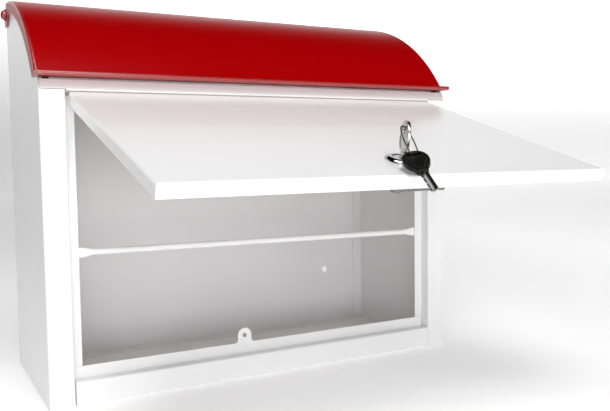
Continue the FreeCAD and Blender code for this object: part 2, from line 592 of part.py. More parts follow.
def lid_shell():
    """Barrel lid with turned-down side flanges, hinge ears and a hemmed front lip."""
    body = new_body("lid_shell")
    flange_in = f"({LID_HALF} - lid_gauge)"
    channel = new_sketch(body, "lid_channel", "XZ_Plane")
    polygon(channel, ((f"-{LID_HALF}", "lid_top - lid_flange"), (f"-{LID_HALF}", "lid_top"),
                      (LID_HALF, "lid_top"), (LID_HALF, "lid_top - lid_flange"),
                      (flange_in, "lid_top - lid_flange"), (flange_in, "lid_top - lid_gauge"),
                      (f"-{flange_in}", "lid_top - lid_gauge"), (f"-{flange_in}", "lid_top - lid_flange")))
    axis = channel.addGeometry(Part.LineSegment(at("-100", BARREL_CENTRE), at("100", BARREL_CENTRE)), True)
    for end, across in ((1, "-100"), (2, "100")):
        fix(channel, "DistanceX", axis, end, across)
        fix(channel, "DistanceY", axis, end, BARREL_CENTRE)
    barrel = body.newObject("PartDesign::Revolution", "lid_barrel")
    barrel.Profile = channel
    barrel.ReferenceAxis = (channel, ["Axis0"])
    barrel.setExpression("Angle", bound(f"asin({FOOT_DEPTH} / lid_radius)"))
    doc.recompute()
    if barrel.Shape.BoundBox.YMin > -1:
        barrel.Reversed = True
        doc.recompute()
    round_lid_edges(body)
    rear = new_sketch(body, "lid_rear_cut", "YZ_Plane")
    polygon(rear, (("gauge", "lid_top + gauge"), ("-lid_rear_gap", "lid_top + gauge"),
                   ("-lid_rear_gap", "lid_top - 2 * lid_flange"), ("gauge", "lid_top - 2 * lid_flange")))
    pocket(body, "lid_rear_trim", rear, f"2 * {LID_HALF} + gauge", symmetric=True)
    lid_ends(body, flange_in)
    lid_lip(body)
    hole = new_sketch(body, "ear_hole", "YZ_Plane")
    circle(hole, "-pivot_back", PIVOT_HEIGHT, "pivot_diameter + 2 * running_gap")
    pocket(body, "ear_bore", hole, f"2 * {LID_HALF} + gauge", symmetric=True)
    return body


def lid_ends(body, flange_in):
    """Ears round the pivots and the level feet of the side flanges."""
    rear_edge = "(-pivot_back + pivot_diameter / 2 + pivot_rim)"
    shoulder = f"({PIVOT_HEIGHT} + pivot_diameter / 2 + pivot_rim)"
    ear_foot = f"({PIVOT_HEIGHT} - ear_bottom)"
    inner_foot = "(lid_radius - lid_flange * 0.75)"
    low = f"({LIP_UNDER} - {BARREL_CENTRE})"
    foot_rear = f"-sqrt({inner_foot} ^ 2 - {low} ^ 2)"
    foot_front = f"(-{FOOT_DEPTH} - lip_reach + lip_thickness)"
    foot_top = f"({LID_FOOT} - lid_gauge / 2)"
    for side, word in (("-", "left"), ("", "right")):
        ear = new_sketch(body, f"{word}_ear_outline", "YZ_Plane", f"{side}{flange_in}")
        polygon(ear, (("-lid_rear_gap", "lid_top - 3 * lid_gauge"), ("-lid_rear_gap", shoulder),
                      (f"{rear_edge} - 2 * lid_gauge", shoulder), (rear_edge, f"{shoulder} - 2 * lid_gauge"),
                      (rear_edge, ear_foot), ("-2 * pivot_back", ear_foot),
                      ("-ear_depth", "lid_top - lid_flange"), ("-ear_depth", "lid_top - 5 * lid_gauge")))
        pad(body, f"{word}_ear", ear, "lid_gauge", backwards=word == "left")
        foot = new_sketch(body, f"{word}_foot_outline", "YZ_Plane", f"{side}{flange_in}")
        polygon(foot, ((foot_rear, LIP_UNDER), (foot_front, LIP_UNDER), (foot_front, foot_top),
                       (f"-{FOOT_DEPTH} + lid_gauge", foot_top)))
        pad(body, f"{word}_foot", foot, "lid_gauge", backwards=word == "left")
    flange_low = f"({BARREL_CENTRE} + (lid_radius - lid_flange) * cos(asin({FOOT_DEPTH} / lid_radius)))"
    if number(flange_low) < number(LIP_UNDER):
        trim_feet(body)


def trim_feet(body):
    """Cut the flanges level with the underside of the lip."""
    trim = new_sketch(body, "foot_trim_outline", "YZ_Plane")
    front, rear = f"(-{FOOT_DEPTH} - lip_reach)", f"(-{FOOT_DEPTH} / 2)"
    polygon(trim, ((front, LIP_UNDER), (rear, LIP_UNDER),
                   (rear, f"{LIP_UNDER} - lid_flange"), (front, f"{LIP_UNDER} - lid_flange")))
    pocket(body, "foot_trim", trim, f"2 * {LID_HALF} + gauge", symmetric=True)


def lid_lip(body):
    """Front lip turned outwards and hemmed back under itself."""
    lip = new_sketch(body, "lip_section", "YZ_Plane")
    tip = f"(-{FOOT_DEPTH} - lip_reach)"
    inner = f"({LID_FOOT} - lid_gauge)"
    under = f"({LIP_UNDER} + lid_gauge)"
    back = f"(-{FOOT_DEPTH} - lid_gauge)"
    root = f"(-{FOOT_DEPTH} + lid_gauge * 0.9)"
    hem_end = f"(-{FOOT_DEPTH} + hem_return)"
    polygon(lip, ((back, inner), (root, inner), (root, LID_FOOT), (tip, LID_FOOT), (tip, LIP_UNDER),
                  (back, LIP_UNDER), (back, under), (f"{tip} + lid_gauge", under),
                  (f"{tip} + lid_gauge", inner)))
    pad(body, "front_lip", lip, f"2 * {LID_HALF}", symmetric=True)
    tops = [at(y=tip, z=LID_FOOT), at(y=tip, z=LIP_UNDER)]
    round_edges(body, "lip_roll", tops, "x", "lip_thickness / 2 - lid_gauge / 10")
    hem = new_sketch(body, "hem_section", "YZ_Plane")
    polygon(hem, ((back, LIP_UNDER), (hem_end, LIP_UNDER), (hem_end, under), (back, under)))
    pad(body, "hem", hem, f"2 * ({INNER_HALF} - seam_gap)", symmetric=True)


def round_lid_edges(body):
    """Soften the long bends between the barrel and its side flanges."""
    shape = body.Tip.Shape
    radius = number("lid_radius")
    names = []
    for index, edge in enumerate(shape.Edges, start=1):
        if edge.Curve.TypeId != "Part::GeomCircle" or edge.Length < radius / 2:
            continue
        beside = abs(abs(edge.Curve.Center.x) - number(LID_HALF)) < 1e-3
        if beside and abs(edge.Curve.Radius - radius) < 1e-3:
            names.append(f"Edge{index}")
    fillet(body, "lid_long_bends", names, "lid_edge_radius")


def door_frame():
    """Frame on the hinge pin, turned from shut to the open rest position."""
    place = at(y=HINGE_BACK, z=f"{HINGE_HEIGHT} - wall_centre_height")
    return Placement(place, Rotation(Vector(1, 0, 0), -number("door_open_angle")))


def lock_frame(depth="0"):
    """Frame on the lock's axis at a depth behind the door face: z outwards, x to the right."""
    place = at("lock_offset", f"-{CURL_OUTER} + {depth}", f"-{LOCK_DROP}")
    return door_frame().multiply(Placement(place, Rotation(Vector(1, 0, 0), 90)))


def place_body(body, placement):
    """Set a placement that replaces the common one."""
    body.setExpression("Placement.Base.z", None)
    body.Placement = placement


def door_panel():
    """Pan folded from one sheet, its top edge curled round the hinge pin."""
    body = new_body("door_panel")
    face = f"(-{CURL_OUTER})"
    inner = f"(-{CURL_INNER})"
    rim = f"({face} + door_flange)"
    low = f"(-{DOOR_LENGTH})"
    wall = f"({DOOR_HALF} - door_gauge)"
    plan = new_sketch(body, "door_plan", "XY_Plane", "-door_flange_start")
    polygon(plan, ((f"-{DOOR_HALF}", face), (DOOR_HALF, face), (DOOR_HALF, rim), (wall, rim),
                   (wall, inner), (f"-{wall}", inner), (f"-{wall}", rim), (f"-{DOOR_HALF}", rim)))
    pad(body, "door_pan", plan, f"{DOOR_LENGTH} - door_flange_start", backwards=True)
    foot = new_sketch(body, "door_foot_section", "YZ_Plane")
    polygon(foot, ((face, low), (rim, low), (rim, f"{low} + door_gauge"), (face, f"{low} + door_gauge")))
    pad(body, "door_foot", foot, f"2 * {DOOR_HALF}", symmetric=True)
    shape = body.Tip.Shape
    outside = edges_near(shape, [at(f"-{DOOR_HALF}", face), at(DOOR_HALF, face)], "z")
    outside += edges_near(shape, [at(y=face, z=low)], "x")
    fillet(body, "door_outer_folds", outside, "fold_radius + door_gauge")
    shape = body.Tip.Shape
    inside = edges_near(shape, [at(f"-{wall}", inner), at(wall, inner)], "z")
    inside += edges_near(shape, [at(y=inner, z=f"{low} + door_gauge")], "x")
    fillet(body, "door_inner_folds", inside, "fold_radius")
    flat = f"({DOOR_HALF} - fold_radius - door_gauge)"
    top = new_sketch(body, "door_top_face", "XZ_Plane", CURL_OUTER)
    polygon(top, ((f"-{flat}", "0"), (f"-{flat}", "-door_flange_start - door_gauge"),
                  (flat, "-door_flange_start - door_gauge"), (flat, "0")))
    pad(body, "door_top", top, "door_gauge", backwards=True)
    curl = new_sketch(body, "curl_section", "XY_Plane")
    polygon(curl, ((f"-{flat}", face), (flat, face), (flat, inner), (f"-{flat}", inner)))
    roll = body.newObject("PartDesign::Revolution", "hinge_curl")
    roll.Profile = curl
    roll.ReferenceAxis = (curl, ["H_Axis"])
    roll.setExpression("Angle", bound("curl_angle"))
    roll.Reversed = True
    doc.recompute()
    hole = new_sketch(body, "lock_hole", "XZ_Plane")
    circle(hole, "lock_offset", f"-{LOCK_DROP}", "barrel_diameter + seam_gap")
    pocket(body, "lock_bore", hole, "8 * door_gauge", symmetric=True)
    place_body(body, door_frame())
    return body


def lock_housing():
    """Bezel and barrel in one casting, bored for the core."""
    body = new_body("lock_housing")
    bore = "(plug_diameter / 2 + running_gap)"
    turned(body, "housing_turned", ((bore, "bezel_height * 0.85"), ("bezel_diameter * 0.36", "bezel_height"),
                                    ("bezel_diameter / 2", "bezel_height * 0.25"), ("bezel_diameter / 2", "0"),
                                    ("barrel_diameter / 2", "0"), ("barrel_diameter / 2", "-barrel_length"),
                                    (bore, "-barrel_length")))
    flats = new_sketch(body, "barrel_flat_outline", "XY_Plane", "-barrel_length - gauge")
    for side in ("-", ""):
        polygon(flats, (("-bezel_diameter", f"{side}barrel_flats / 2"), ("bezel_diameter", f"{side}barrel_flats / 2"),
                        ("bezel_diameter", f"{side}bezel_diameter"), ("-bezel_diameter", f"{side}bezel_diameter")))
    pocket(body, "barrel_flats_cut", flats, "barrel_length + gauge", backwards=True)
    place_body(body, lock_frame())
    return body


def lock_nut():
    """Thin hexagon nut that clamps the housing to the door."""
    body = new_body("lock_nut")
    outline = new_sketch(body, "lock_nut_outline", "XY_Plane")
    hexagon(outline, "nut_flats")
    circle(outline, "0", "0", "barrel_diameter")
    pad(body, "lock_nut_hexagon", outline, "nut_height", backwards=True)
    place_body(body, lock_frame("door_gauge"))
    return body


def lock_plug():
    """Turning core with a slot for the key and a square tail for the cam."""
    body = new_body("lock_plug")
    turned(body, "core", (("0", "bezel_height * 0.8"), ("plug_diameter / 2 - plug_chamfer", "bezel_height * 0.8"),
                          ("plug_diameter / 2", "bezel_height * 0.65"),
                          ("plug_diameter / 2", "-cam_depth + seam_gap"), ("0", "-cam_depth + seam_gap")))
    tail = new_sketch(body, "tail_outline", "XY_Plane", "-cam_depth + seam_gap")
    half = "tail_flats / 2"
    polygon(tail, ((f"-{half}", f"-{half}"), (half, f"-{half}"), (half, half), (f"-{half}", half)))
    pad(body, "square_tail", tail, "cam_gauge + seam_gap", backwards=True)
    slot = new_sketch(body, "key_slot_outline", "XY_Plane", "bezel_height")
    slot.setExpression("AttachmentOffset.Rotation.Angle", bound("-keyway_angle"))
    wide = "(key_blade_width / 2 + key_slot_gap)"
    thin = "(key_gauge / 2 + key_slot_gap)"
    polygon(slot, ((f"-{wide}", f"-{thin}"), (wide, f"-{thin}"), (wide, thin), (f"-{wide}", thin)))
    pocket(body, "key_slot", slot, "key_blade_length + bezel_height + key_slot_gap")
    bore = new_sketch(body, "tail_thread_outline", "XY_Plane", "-cam_depth - cam_gauge - gauge")
    circle(bore, "0", "0", "cam_screw_thread")
    pocket(body, "tail_thread", bore, "cam_gauge + 2 * gauge", backwards=True)
    place_body(body, lock_frame())
    return body


def lock_cam():
    """Flat cam with a square eye, a round hub and a slanted tip."""
    body = new_body("lock_cam")
    hub = new_sketch(body, "cam_hub_outline", "XY_Plane")
    circle(hub, "0", "0", "cam_hub")
    pad(body, "cam_hub", hub, "cam_gauge", backwards=True)
    arm = new_sketch(body, "cam_arm_outline", "XY_Plane")
    side = "cam_width / 2"
    polygon(arm, (("0", f"-{side}"), ("cam_length - cam_tip_cut", f"-{side}"),
                  ("cam_length", f"-{side} + cam_tip_cut"), ("cam_length", f"{side} - cam_corner"),
                  ("cam_length - cam_corner", side), ("0", side)))
    pad(body, "cam_arm", arm, "cam_gauge", backwards=True)
    eye = new_sketch(body, "cam_eye_outline", "XY_Plane", "gauge")
    half = "tail_flats / 2"
    polygon(eye, ((f"-{half}", f"-{half}"), (half, f"-{half}"), (half, half), (f"-{half}", half)))
    pocket(body, "cam_eye", eye, "cam_gauge + 2 * gauge")
    place_body(body, lock_frame("cam_depth"))
    return body


def cam_washer():
    body = new_body("cam_washer")
    turned(body, "washer_disc", (("cam_screw_thread / 2", "0"), ("cam_washer_width / 2", "0"),
                                 ("cam_washer_width / 2", "-cam_washer_gauge"),
                                 ("cam_screw_thread / 2", "-cam_washer_gauge")))
    place_body(body, lock_frame("cam_depth + cam_gauge"))
    return body


def cam_screw():
    """Hexagon screw that holds the cam on the core's tail."""
    body = new_body("cam_screw")
    outline = new_sketch(body, "screw_head_outline", "XY_Plane")
    hexagon(outline, "cam_screw_flats")
    pad(body, "screw_head", outline, "cam_screw_head", backwards=True)
    thread = new_sketch(body, "screw_thread_outline", "XY_Plane")
    circle(thread, "0", "0", "cam_screw_thread")
    pad(body, "screw_thread", thread, "cam_washer_gauge + cam_gauge + cam_screw_bite")
    place_body(body, lock_frame("cam_depth + cam_gauge + cam_washer_gauge"))
    return body


def key_profile(body, name, stem_low, bow_low, bow_width, bow_height, gauge):
    """Blade, neck and rounded bow of a flat key, standing on the xz plane."""
    half = "key_blade_width / 2"
    blade = new_sketch(body, f"{name}_blade_outline", "XZ_Plane")
    polygon(blade, ((f"-{half}", stem_low), ("0", f"{stem_low} - key_point"), (half, stem_low),
                    (half, f"{bow_low} + {gauge}"), (f"-{half}", f"{bow_low} + {gauge}")))
    pad(body, f"{name}_blade", blade, gauge, symmetric=True)
    bow = new_sketch(body, f"{name}_bow_outline", "XZ_Plane")
    top = f"({bow_low} + {bow_height})"
    polygon(bow, ((f"-{bow_width} / 2", bow_low), (f"{bow_width} / 2", bow_low),
                  (f"{bow_width} / 2", top), (f"-{bow_width} / 2", top)))
    pad(body, f"{name}_bow", bow, gauge, symmetric=True)
    low = [at(f"{side}{bow_width} / 2", "0", bow_low) for side in ("-", "")]
    high = [at(f"{side}{bow_width} / 2", "0", top) for side in ("-", "")]
    round_edges(body, f"{name}_bow_low", low, "y", f"{bow_width} * 0.3")
    round_edges(body, f"{name}_bow_high", high, "y", f"{bow_width} * 0.47")


def lock_key():
    """House key standing in the lock."""
    body = new_body("lock_key")
    bow_low = "(bezel_height + key_neck)"
    stem_low = "(key_point - key_blade_length)"
    key_profile(body, "key", stem_low, bow_low, "key_bow_width", "key_bow_height", "key_gauge")
    hole = new_sketch(body, "key_hole_outline", "XZ_Plane")
    circle(hole, "0", f"{bow_low} + key_bow_height - key_hole_inset", "key_hole_bore")
    pocket(body, "key_hole", hole, "3 * key_gauge", symmetric=True)
    turn = Placement(Vector(), Rotation(Vector(0, 0, 1), -number("keyway_angle")))
    place_body(body, lock_frame().multiply(turn))
    return body


# How the ring and the spare key lie, in the lock's frame: x to the right,
# y towards the hinge and z out of the door.
RING_FALL = Vector(-0.2318, -0.8079, -0.5418)
RING_CROSSING = Vector(0.787, 0.172, -0.593)
SPARE_AXIS = Vector(0.3366, 0.933, 0.1275)
SPARE_ACROSS = Vector(0.8965, -0.3589, 0.2598)


def key_hole_place():
    """Middle of the hole in the key that stands in the lock."""
    return at(z="bezel_height + key_neck + key_bow_height - key_hole_inset")


def ring_fall():
    """Way from the hole of the standing key to the hole of the spare key."""
    return Vector(RING_FALL).normalize() * 2 * number("ring_radius")


def key_ring():
    """Ring of flattened wire through both keys."""
    body = new_body("key_ring")
    inner, outer = "ring_radius - ring_wire / 2", "ring_radius + ring_wire / 2"
    low, high = "-ring_gauge / 2", "ring_gauge / 2"
    turned(body, "ring_wire_turn", ((inner, low), (outer, low), (outer, high), (inner, high)))
    lie = Rotation(RING_FALL, RING_CROSSING, Vector(), "XYZ")
    centre = key_hole_place() + ring_fall() / 2
    place_body(body, lock_frame().multiply(Placement(centre, lie)))
    return body


def spare_place():
    """Frame of the spare key: x across its head, z from its tip to its head."""
    lie = Rotation(SPARE_ACROSS, Vector(), SPARE_AXIS, "ZXY")
    hole = at(z="spare_head_length - key_hole_inset")
    return lock_frame().multiply(Placement(key_hole_place() + ring_fall() - lie.multVec(hole), lie))


def spare_key_head():
    """Oval moulded head with a shoulder, closed round the end of the blade."""
    body = new_body("spare_key_head")
    oval = new_sketch(body, "spare_oval", "XZ_Plane")
    half, length = "spare_head_width / 2", "spare_head_length"
    polygon(oval, ((f"-{half}", "0"), (half, "0"), (half, length), (f"-{half}", length)))
    pad(body, "spare_head_block", oval, "spare_head_gauge", symmetric=True)
    corners = [at(f"{side}{half}", "0", z) for side in ("-", "") for z in ("0", length)]
    round_edges(body, "spare_head_round", corners, "y", "spare_head_width * 0.47")
    neck = new_sketch(body, "spare_neck_outline", "XZ_Plane")
    side = "spare_neck_width / 2"
    root = "spare_head_gauge / 2"
    polygon(neck, ((f"-{side}", root), (f"-{side}", "-spare_neck_length"),
                   (side, "-spare_neck_length"), (side, root)))
    pad(body, "spare_neck", neck, "spare_head_gauge", symmetric=True)
    slot = new_sketch(body, "spare_slot_outline", "XZ_Plane")
    reach = "spare_slot_width / 2"
    near = f"({length} - key_hole_inset - spare_slot_height / 2)"
    far = f"({length} - key_hole_inset + spare_slot_height / 2)"
    polygon(slot, ((f"-{reach}", near), (reach, near), (reach, far), (f"-{reach}", far)))
    pocket(body, "spare_slot", slot, "3 * spare_head_gauge", symmetric=True)
    ends = [at(f"{side}{reach}", "0", z) for side in ("-", "") for z in (near, far)]
    round_edges(body, "spare_slot_round", ends, "y", "spare_slot_height * 0.45")
    place_body(body, spare_place())
    return body


def spare_key_blade():
    """Steel blade of the spare key, butted to the shoulder of its head."""
    body = new_body("spare_key_blade")
    half = "key_blade_width / 2"
    tip = "(-spare_neck_length - spare_blade_length)"
    blade = new_sketch(body, "spare_blade_outline", "XZ_Plane")
    shoulder = f"({tip} + key_point)"
    polygon(blade, ((f"-{half}", "-spare_neck_length"), (f"-{half}", shoulder), ("0", tip),
                    (half, shoulder), (half, "-spare_neck_length")))
    pad(body, "spare_blade", blade, "key_gauge", symmetric=True)
    place_body(body, spare_place())
    return body


def check_and_write():
    """Stop on a failed feature or a bad shape, then write one file for each piece."""
    doc.recompute()
    for item in doc.Objects:
        if {"Invalid", "Error"} & set(item.State):
            raise RuntimeError(f"{item.Label} failed: {item.State}")
    os.makedirs("parts", exist_ok=True)
    for piece in pieces:
        shape = piece.Shape
        if shape.isNull() or not shape.isValid() or not shape.Solids:
            raise RuntimeError(f"{piece.Label} has no valid shape")
        shape.exportStep(os.path.join("parts", f"{piece.Label}.step"))
        box = shape.BoundBox
        print(f"{piece.Label:20s} {len(shape.Solids)} {shape.Volume:10.1f}  "
              f"{box.XMin:7.1f} {box.XMax:7.1f} {box.YMin:7.1f} {box.YMax:7.1f} {box.ZMin:7.1f} {box.ZMax:7.1f}")


fill_sheet()
side_panel("left_side_panel", "-")
side_panel("right_side_panel", "")
back_panel()
floor_pan()
header_rail()
letter_bar()
bar_between("door_hinge_pin", "hinge_pin_diameter", f"({BAY_HALF} + 2 * gauge)", HINGE_BACK, HINGE_HEIGHT)
lid_pivots()
lid_bumpers()
lid_shell()
door_panel()
lock_housing()
lock_nut()
lock_plug()
lock_cam()
cam_washer()
cam_screw()
lock_key()
key_ring()
spare_key_head()
spare_key_blade()
check_and_write()
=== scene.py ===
import bmesh
import bpy
import json
import math
from mathutils import Matrix, Vector


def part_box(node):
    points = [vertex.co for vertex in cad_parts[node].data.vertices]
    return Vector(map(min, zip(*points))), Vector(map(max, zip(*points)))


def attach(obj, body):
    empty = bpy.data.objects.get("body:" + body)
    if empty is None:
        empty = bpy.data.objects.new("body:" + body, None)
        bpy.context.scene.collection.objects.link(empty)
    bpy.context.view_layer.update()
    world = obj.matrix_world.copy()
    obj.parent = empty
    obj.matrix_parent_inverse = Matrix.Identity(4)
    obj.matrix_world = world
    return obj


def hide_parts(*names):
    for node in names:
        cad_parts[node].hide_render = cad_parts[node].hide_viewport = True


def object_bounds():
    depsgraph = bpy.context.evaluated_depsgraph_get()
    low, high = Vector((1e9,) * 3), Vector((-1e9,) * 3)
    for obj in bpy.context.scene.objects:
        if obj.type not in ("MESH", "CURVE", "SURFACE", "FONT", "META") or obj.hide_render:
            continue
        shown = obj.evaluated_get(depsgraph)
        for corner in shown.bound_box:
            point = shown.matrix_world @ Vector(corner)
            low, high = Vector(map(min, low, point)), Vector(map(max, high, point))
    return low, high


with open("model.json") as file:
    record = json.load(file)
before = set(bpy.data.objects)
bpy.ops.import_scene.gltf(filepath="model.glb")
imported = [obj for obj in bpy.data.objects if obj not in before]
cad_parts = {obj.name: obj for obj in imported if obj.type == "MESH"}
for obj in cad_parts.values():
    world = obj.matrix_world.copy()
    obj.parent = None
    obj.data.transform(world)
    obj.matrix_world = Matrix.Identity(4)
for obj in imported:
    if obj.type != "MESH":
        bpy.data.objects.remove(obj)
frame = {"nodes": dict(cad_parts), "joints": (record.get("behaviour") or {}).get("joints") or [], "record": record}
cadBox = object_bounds()
nodes = frame["nodes"]
mm = 0.001      # the scene is in metres
print("frame loaded:", len(nodes), "nodes")


def srgb(red, green, blue):
    def channel(value):
        value /= 255
        return value / 12.92 if value <= 0.04045 else ((value + 0.055) / 1.055) ** 2.4
    return (channel(red), channel(green), channel(blue), 1.0)


# camera and light come first

view = {
    "place": Vector((-0.28544, -0.72453, 0.04298)),
    "azimuth": math.radians(-28.99),
    "elevation": math.radians(4.08),
    "roll": math.radians(-0.72),
    "lens": 43.73, "sensor": 36, "near": 0.01,
}


def makeCamera():
    around, rise, roll = view["azimuth"], view["elevation"], view["roll"]
    back = Vector((math.sin(around) * math.cos(rise), -math.cos(around) * math.cos(rise), math.sin(rise)))
    right = (-back).cross(Vector((0, 0, 1))).normalized()
    up = right.cross(-back)
    rolledRight = right * math.cos(roll) + up * math.sin(roll)
    rolledUp = up * math.cos(roll) - right * math.sin(roll)
    data = bpy.data.cameras.new("photoCamera")
    data.lens = view["lens"]
    data.sensor_width = view["sensor"]
    data.sensor_fit = "HORIZONTAL"
    data.clip_start = view["near"]
    camera = bpy.data.objects.new("photoCamera", data)
    turn = Matrix((rolledRight, rolledUp, back)).transposed().to_4x4()
    camera.matrix_world = Matrix.Translation(view["place"]) @ turn
    bpy.context.scene.collection.objects.link(camera)
    bpy.context.scene.camera = camera


def areaLight(name, place, aim, size, power):
    data = bpy.data.lights.new(name, "AREA")
    data.shape = "RECTANGLE"
    data.size, data.size_y = size
    data.energy = power
    light = bpy.data.objects.new(name, data)
    light.location = place
    light.rotation_euler = (Vector(aim) - Vector(place)).to_track_quat("-Z", "Y").to_euler()
    bpy.context.scene.collection.objects.link(light)


studio = {
    "riseFade": (0.15, 0.7, 1, 0), "sideFade": (-0.4, 0.4, 0.05, 0.6),      # low, high, start, end
    "boxes": (      # name, place, aim, size, power
        ("leftBox", (-0.65, -1.85, 0.12), (0, -0.1, 0.0), (1.1, 1.0), 9.5),
        ("lowBox", (-0.2, -1.5, -0.05), (0.05, -0.1, 0.0), (0.8, 0.3), 3.8),
        ("slantBox", (-0.15, -1.6, 1.5), (0, -0.1, 0.1), (1.4, 1.0), 9.5),
        ("topBox", (-0.25, -0.7, 1.2), (0, -0.1, 0.0), (0.7, 0.7), 10),
    ),
}


def fadeNode(tree, socket, low, high, start, end):
    fade = tree.nodes.new("ShaderNodeMapRange")
    fade.interpolation_type = "SMOOTHSTEP"
    for label, value in (("From Min", low), ("From Max", high), ("To Min", start), ("To Max", end)):
        fade.inputs[label].default_value = value
    tree.links.new(socket, fade.inputs["Value"])
    return fade.outputs["Result"]


def mathNode(tree, operation, *values):
    # each value is a socket or a plain number
    node = tree.nodes.new("ShaderNodeMath")
    node.operation = operation
    for socket, value in zip(node.inputs, values):
        if isinstance(value, bpy.types.NodeSocket):
            tree.links.new(value, socket)
        else:
            socket.default_value = value
    return node.outputs["Value"]


def axesNode(tree, kind):
    place = tree.nodes.new("ShaderNodeTexCoord")
    axes = tree.nodes.new("ShaderNodeSeparateXYZ")
    tree.links.new(place.outputs[kind], axes.inputs["Vector"])
    return axes


def makeLight():
    # soft light low round the horizon, stronger on the right, a dark ceiling and four soft boxes
    world = bpy.data.worlds.new("studio")
    bpy.context.scene.world = world
    world.use_nodes = True
    tree = world.node_tree
    ground = tree.nodes["Background"]
    ground.inputs["Color"].default_value = (1, 1, 1, 1)
    axes = axesNode(tree, "Generated")
    rise = fadeNode(tree, axes.outputs["Z"], *studio["riseFade"])
    side = fadeNode(tree, axes.outputs["X"], *studio["sideFade"])
    tree.links.new(mathNode(tree, "MULTIPLY", rise, side), ground.inputs["Strength"])
    for box in studio["boxes"]:
        areaLight(*box)


backdrop = {
    "below": 0.4 * mm, "reach": 4.0, "rise": 4.0, "bend": 1.2, "bendSteps": 12, "halfWidth": 8.0,
    "color": (0.93, 0.93, 0.93, 1), "roughness": 0.9,
    # rightGlow and wallGlow are painted light: the floor glows more to the right, where it would lie in shade, and
    # the wall glows more higher up
    "rightGlow": (0.25, 1.0, 0.28, 0.55), "wallGlow": (0.1, 1.0, 0, 0.42),      # low, high, start, end
    "topFade": (1.6, 3.9, 1, 0),
}


def makeFloor():
    # flat floor that bends up into a wall at the back; its glow is painted light, stronger to the right and up the
    # wall
    spec = backdrop
    low, reach, bend = cadBox[0][2] - spec["below"], spec["reach"], spec["bend"]
    profile = [(-reach, low)]
    for step in range(spec["bendSteps"] + 1):
        angle = math.pi / 2 * step / spec["bendSteps"]
        profile.append((reach - bend + bend * math.sin(angle), low + bend - bend * math.cos(angle)))
    profile.append((reach, low + spec["rise"]))
    points = [(side * spec["halfWidth"], y, z) for side in (-1, 1) for y, z in profile]
    count = len(profile)
    faces = [(i, count + i, count + i + 1, i + 1) for i in range(count - 1)]
    mesh = bpy.data.meshes.new("studioFloor")
    mesh.from_pydata(points, [], faces)
    for face in mesh.polygons:
        face.use_smooth = True
    floor = bpy.data.objects.new("studioFloor", mesh)
    bpy.context.scene.collection.objects.link(floor)
    material = bpy.data.materials.new("paleFloor")
    material.use_nodes = True
    tree = material.node_tree
    shader = tree.nodes["Principled BSDF"]
    shader.inputs["Base Color"].default_value = spec["color"]
    shader.inputs["Roughness"].default_value = spec["roughness"]
    shader.inputs["Emission Color"].default_value = (1, 1, 1, 1)
    axes = axesNode(tree, "Object")
    right = fadeNode(tree, axes.outputs["X"], *spec["rightGlow"])
    wall = fadeNode(tree, axes.outputs["Z"], *spec["wallGlow"])
    top = fadeNode(tree, axes.outputs["Z"], *spec["topFade"])      # the wall's painted glow fades towards its top edge
    glow = mathNode(tree, "MULTIPLY", mathNode(tree, "ADD", right, wall), top)
    tree.links.new(glow, shader.inputs["Emission Strength"])
    mesh.materials.append(material)


makeCamera()
makeLight()
makeFloor()
bpy.context.scene.view_settings.view_transform = "Standard"
print("camera, light and floor made")


# shared effects

effect = {
    "bevelSamples": 4, "peelDetail": 2, "peelStrength": 0.35, "tintDetail": 4, "tintRoughness": 0.6,
    "edgeFade": (0.97, 0.999, 1, 0),      # low, high, start, end
}


def groupWith(name, inputs, outputs):
    group = bpy.data.node_groups.new(name, "ShaderNodeTree")
    for label, kind in inputs:
        group.interface.new_socket(label, in_out="INPUT", socket_type=kind)
    for label, kind in outputs:
        group.interface.new_socket(label, in_out="OUTPUT", socket_type=kind)
    enter = group.nodes.new("NodeGroupInput")
    leave = group.nodes.new("NodeGroupOutput")
    return group, enter, leave


def peelGroup():
    inputs = [("Scale", "NodeSocketFloat"), ("Height", "NodeSocketFloat"), ("Edge", "NodeSocketFloat")]
    group, enter, leave = groupWith("paintPeel", inputs, [("Normal", "NodeSocketVector")])
    place = group.nodes.new("ShaderNodeTexCoord")
    noise = group.nodes.new("ShaderNodeTexNoise")
    noise.inputs["Detail"].default_value = effect["peelDetail"]
    edge = group.nodes.new("ShaderNodeBevel")
    edge.samples = effect["bevelSamples"]
    bump = group.nodes.new("ShaderNodeBump")
    bump.inputs["Strength"].default_value = effect["peelStrength"]
    link = group.links.new
    link(place.outputs["Object"], noise.inputs["Vector"])
    link(enter.outputs["Scale"], noise.inputs["Scale"])
    link(enter.outputs["Edge"], edge.inputs["Radius"])
    link(enter.outputs["Height"], bump.inputs["Distance"])
    link(noise.outputs["Fac"], bump.inputs["Height"])
    link(edge.outputs["Normal"], bump.inputs["Normal"])
    link(bump.outputs["Normal"], leave.inputs["Normal"])
    return group


def tintGroup():
    inputs = [("Scale", "NodeSocketFloat"), ("Light", "NodeSocketColor"), ("Dark", "NodeSocketColor")]
    outputs = [("Color", "NodeSocketColor"), ("Mask", "NodeSocketFloat")]
    group, enter, leave = groupWith("slowTint", inputs, outputs)
    place = group.nodes.new("ShaderNodeTexCoord")
    noise = group.nodes.new("ShaderNodeTexNoise")
    noise.inputs["Detail"].default_value = effect["tintDetail"]
    noise.inputs["Roughness"].default_value = effect["tintRoughness"]
    mix = group.nodes.new("ShaderNodeMix")
    mix.data_type = "RGBA"
    colorA, colorB, colorOut = mix.inputs[6], mix.inputs[7], mix.outputs[2]
    link = group.links.new
    link(place.outputs["Object"], noise.inputs["Vector"])
    link(enter.outputs["Scale"], noise.inputs["Scale"])
    link(noise.outputs["Fac"], mix.inputs["Factor"])
    link(enter.outputs["Dark"], colorA)
    link(enter.outputs["Light"], colorB)
    link(colorOut, leave.inputs["Color"])
    link(noise.outputs["Fac"], leave.inputs["Mask"])
    return group


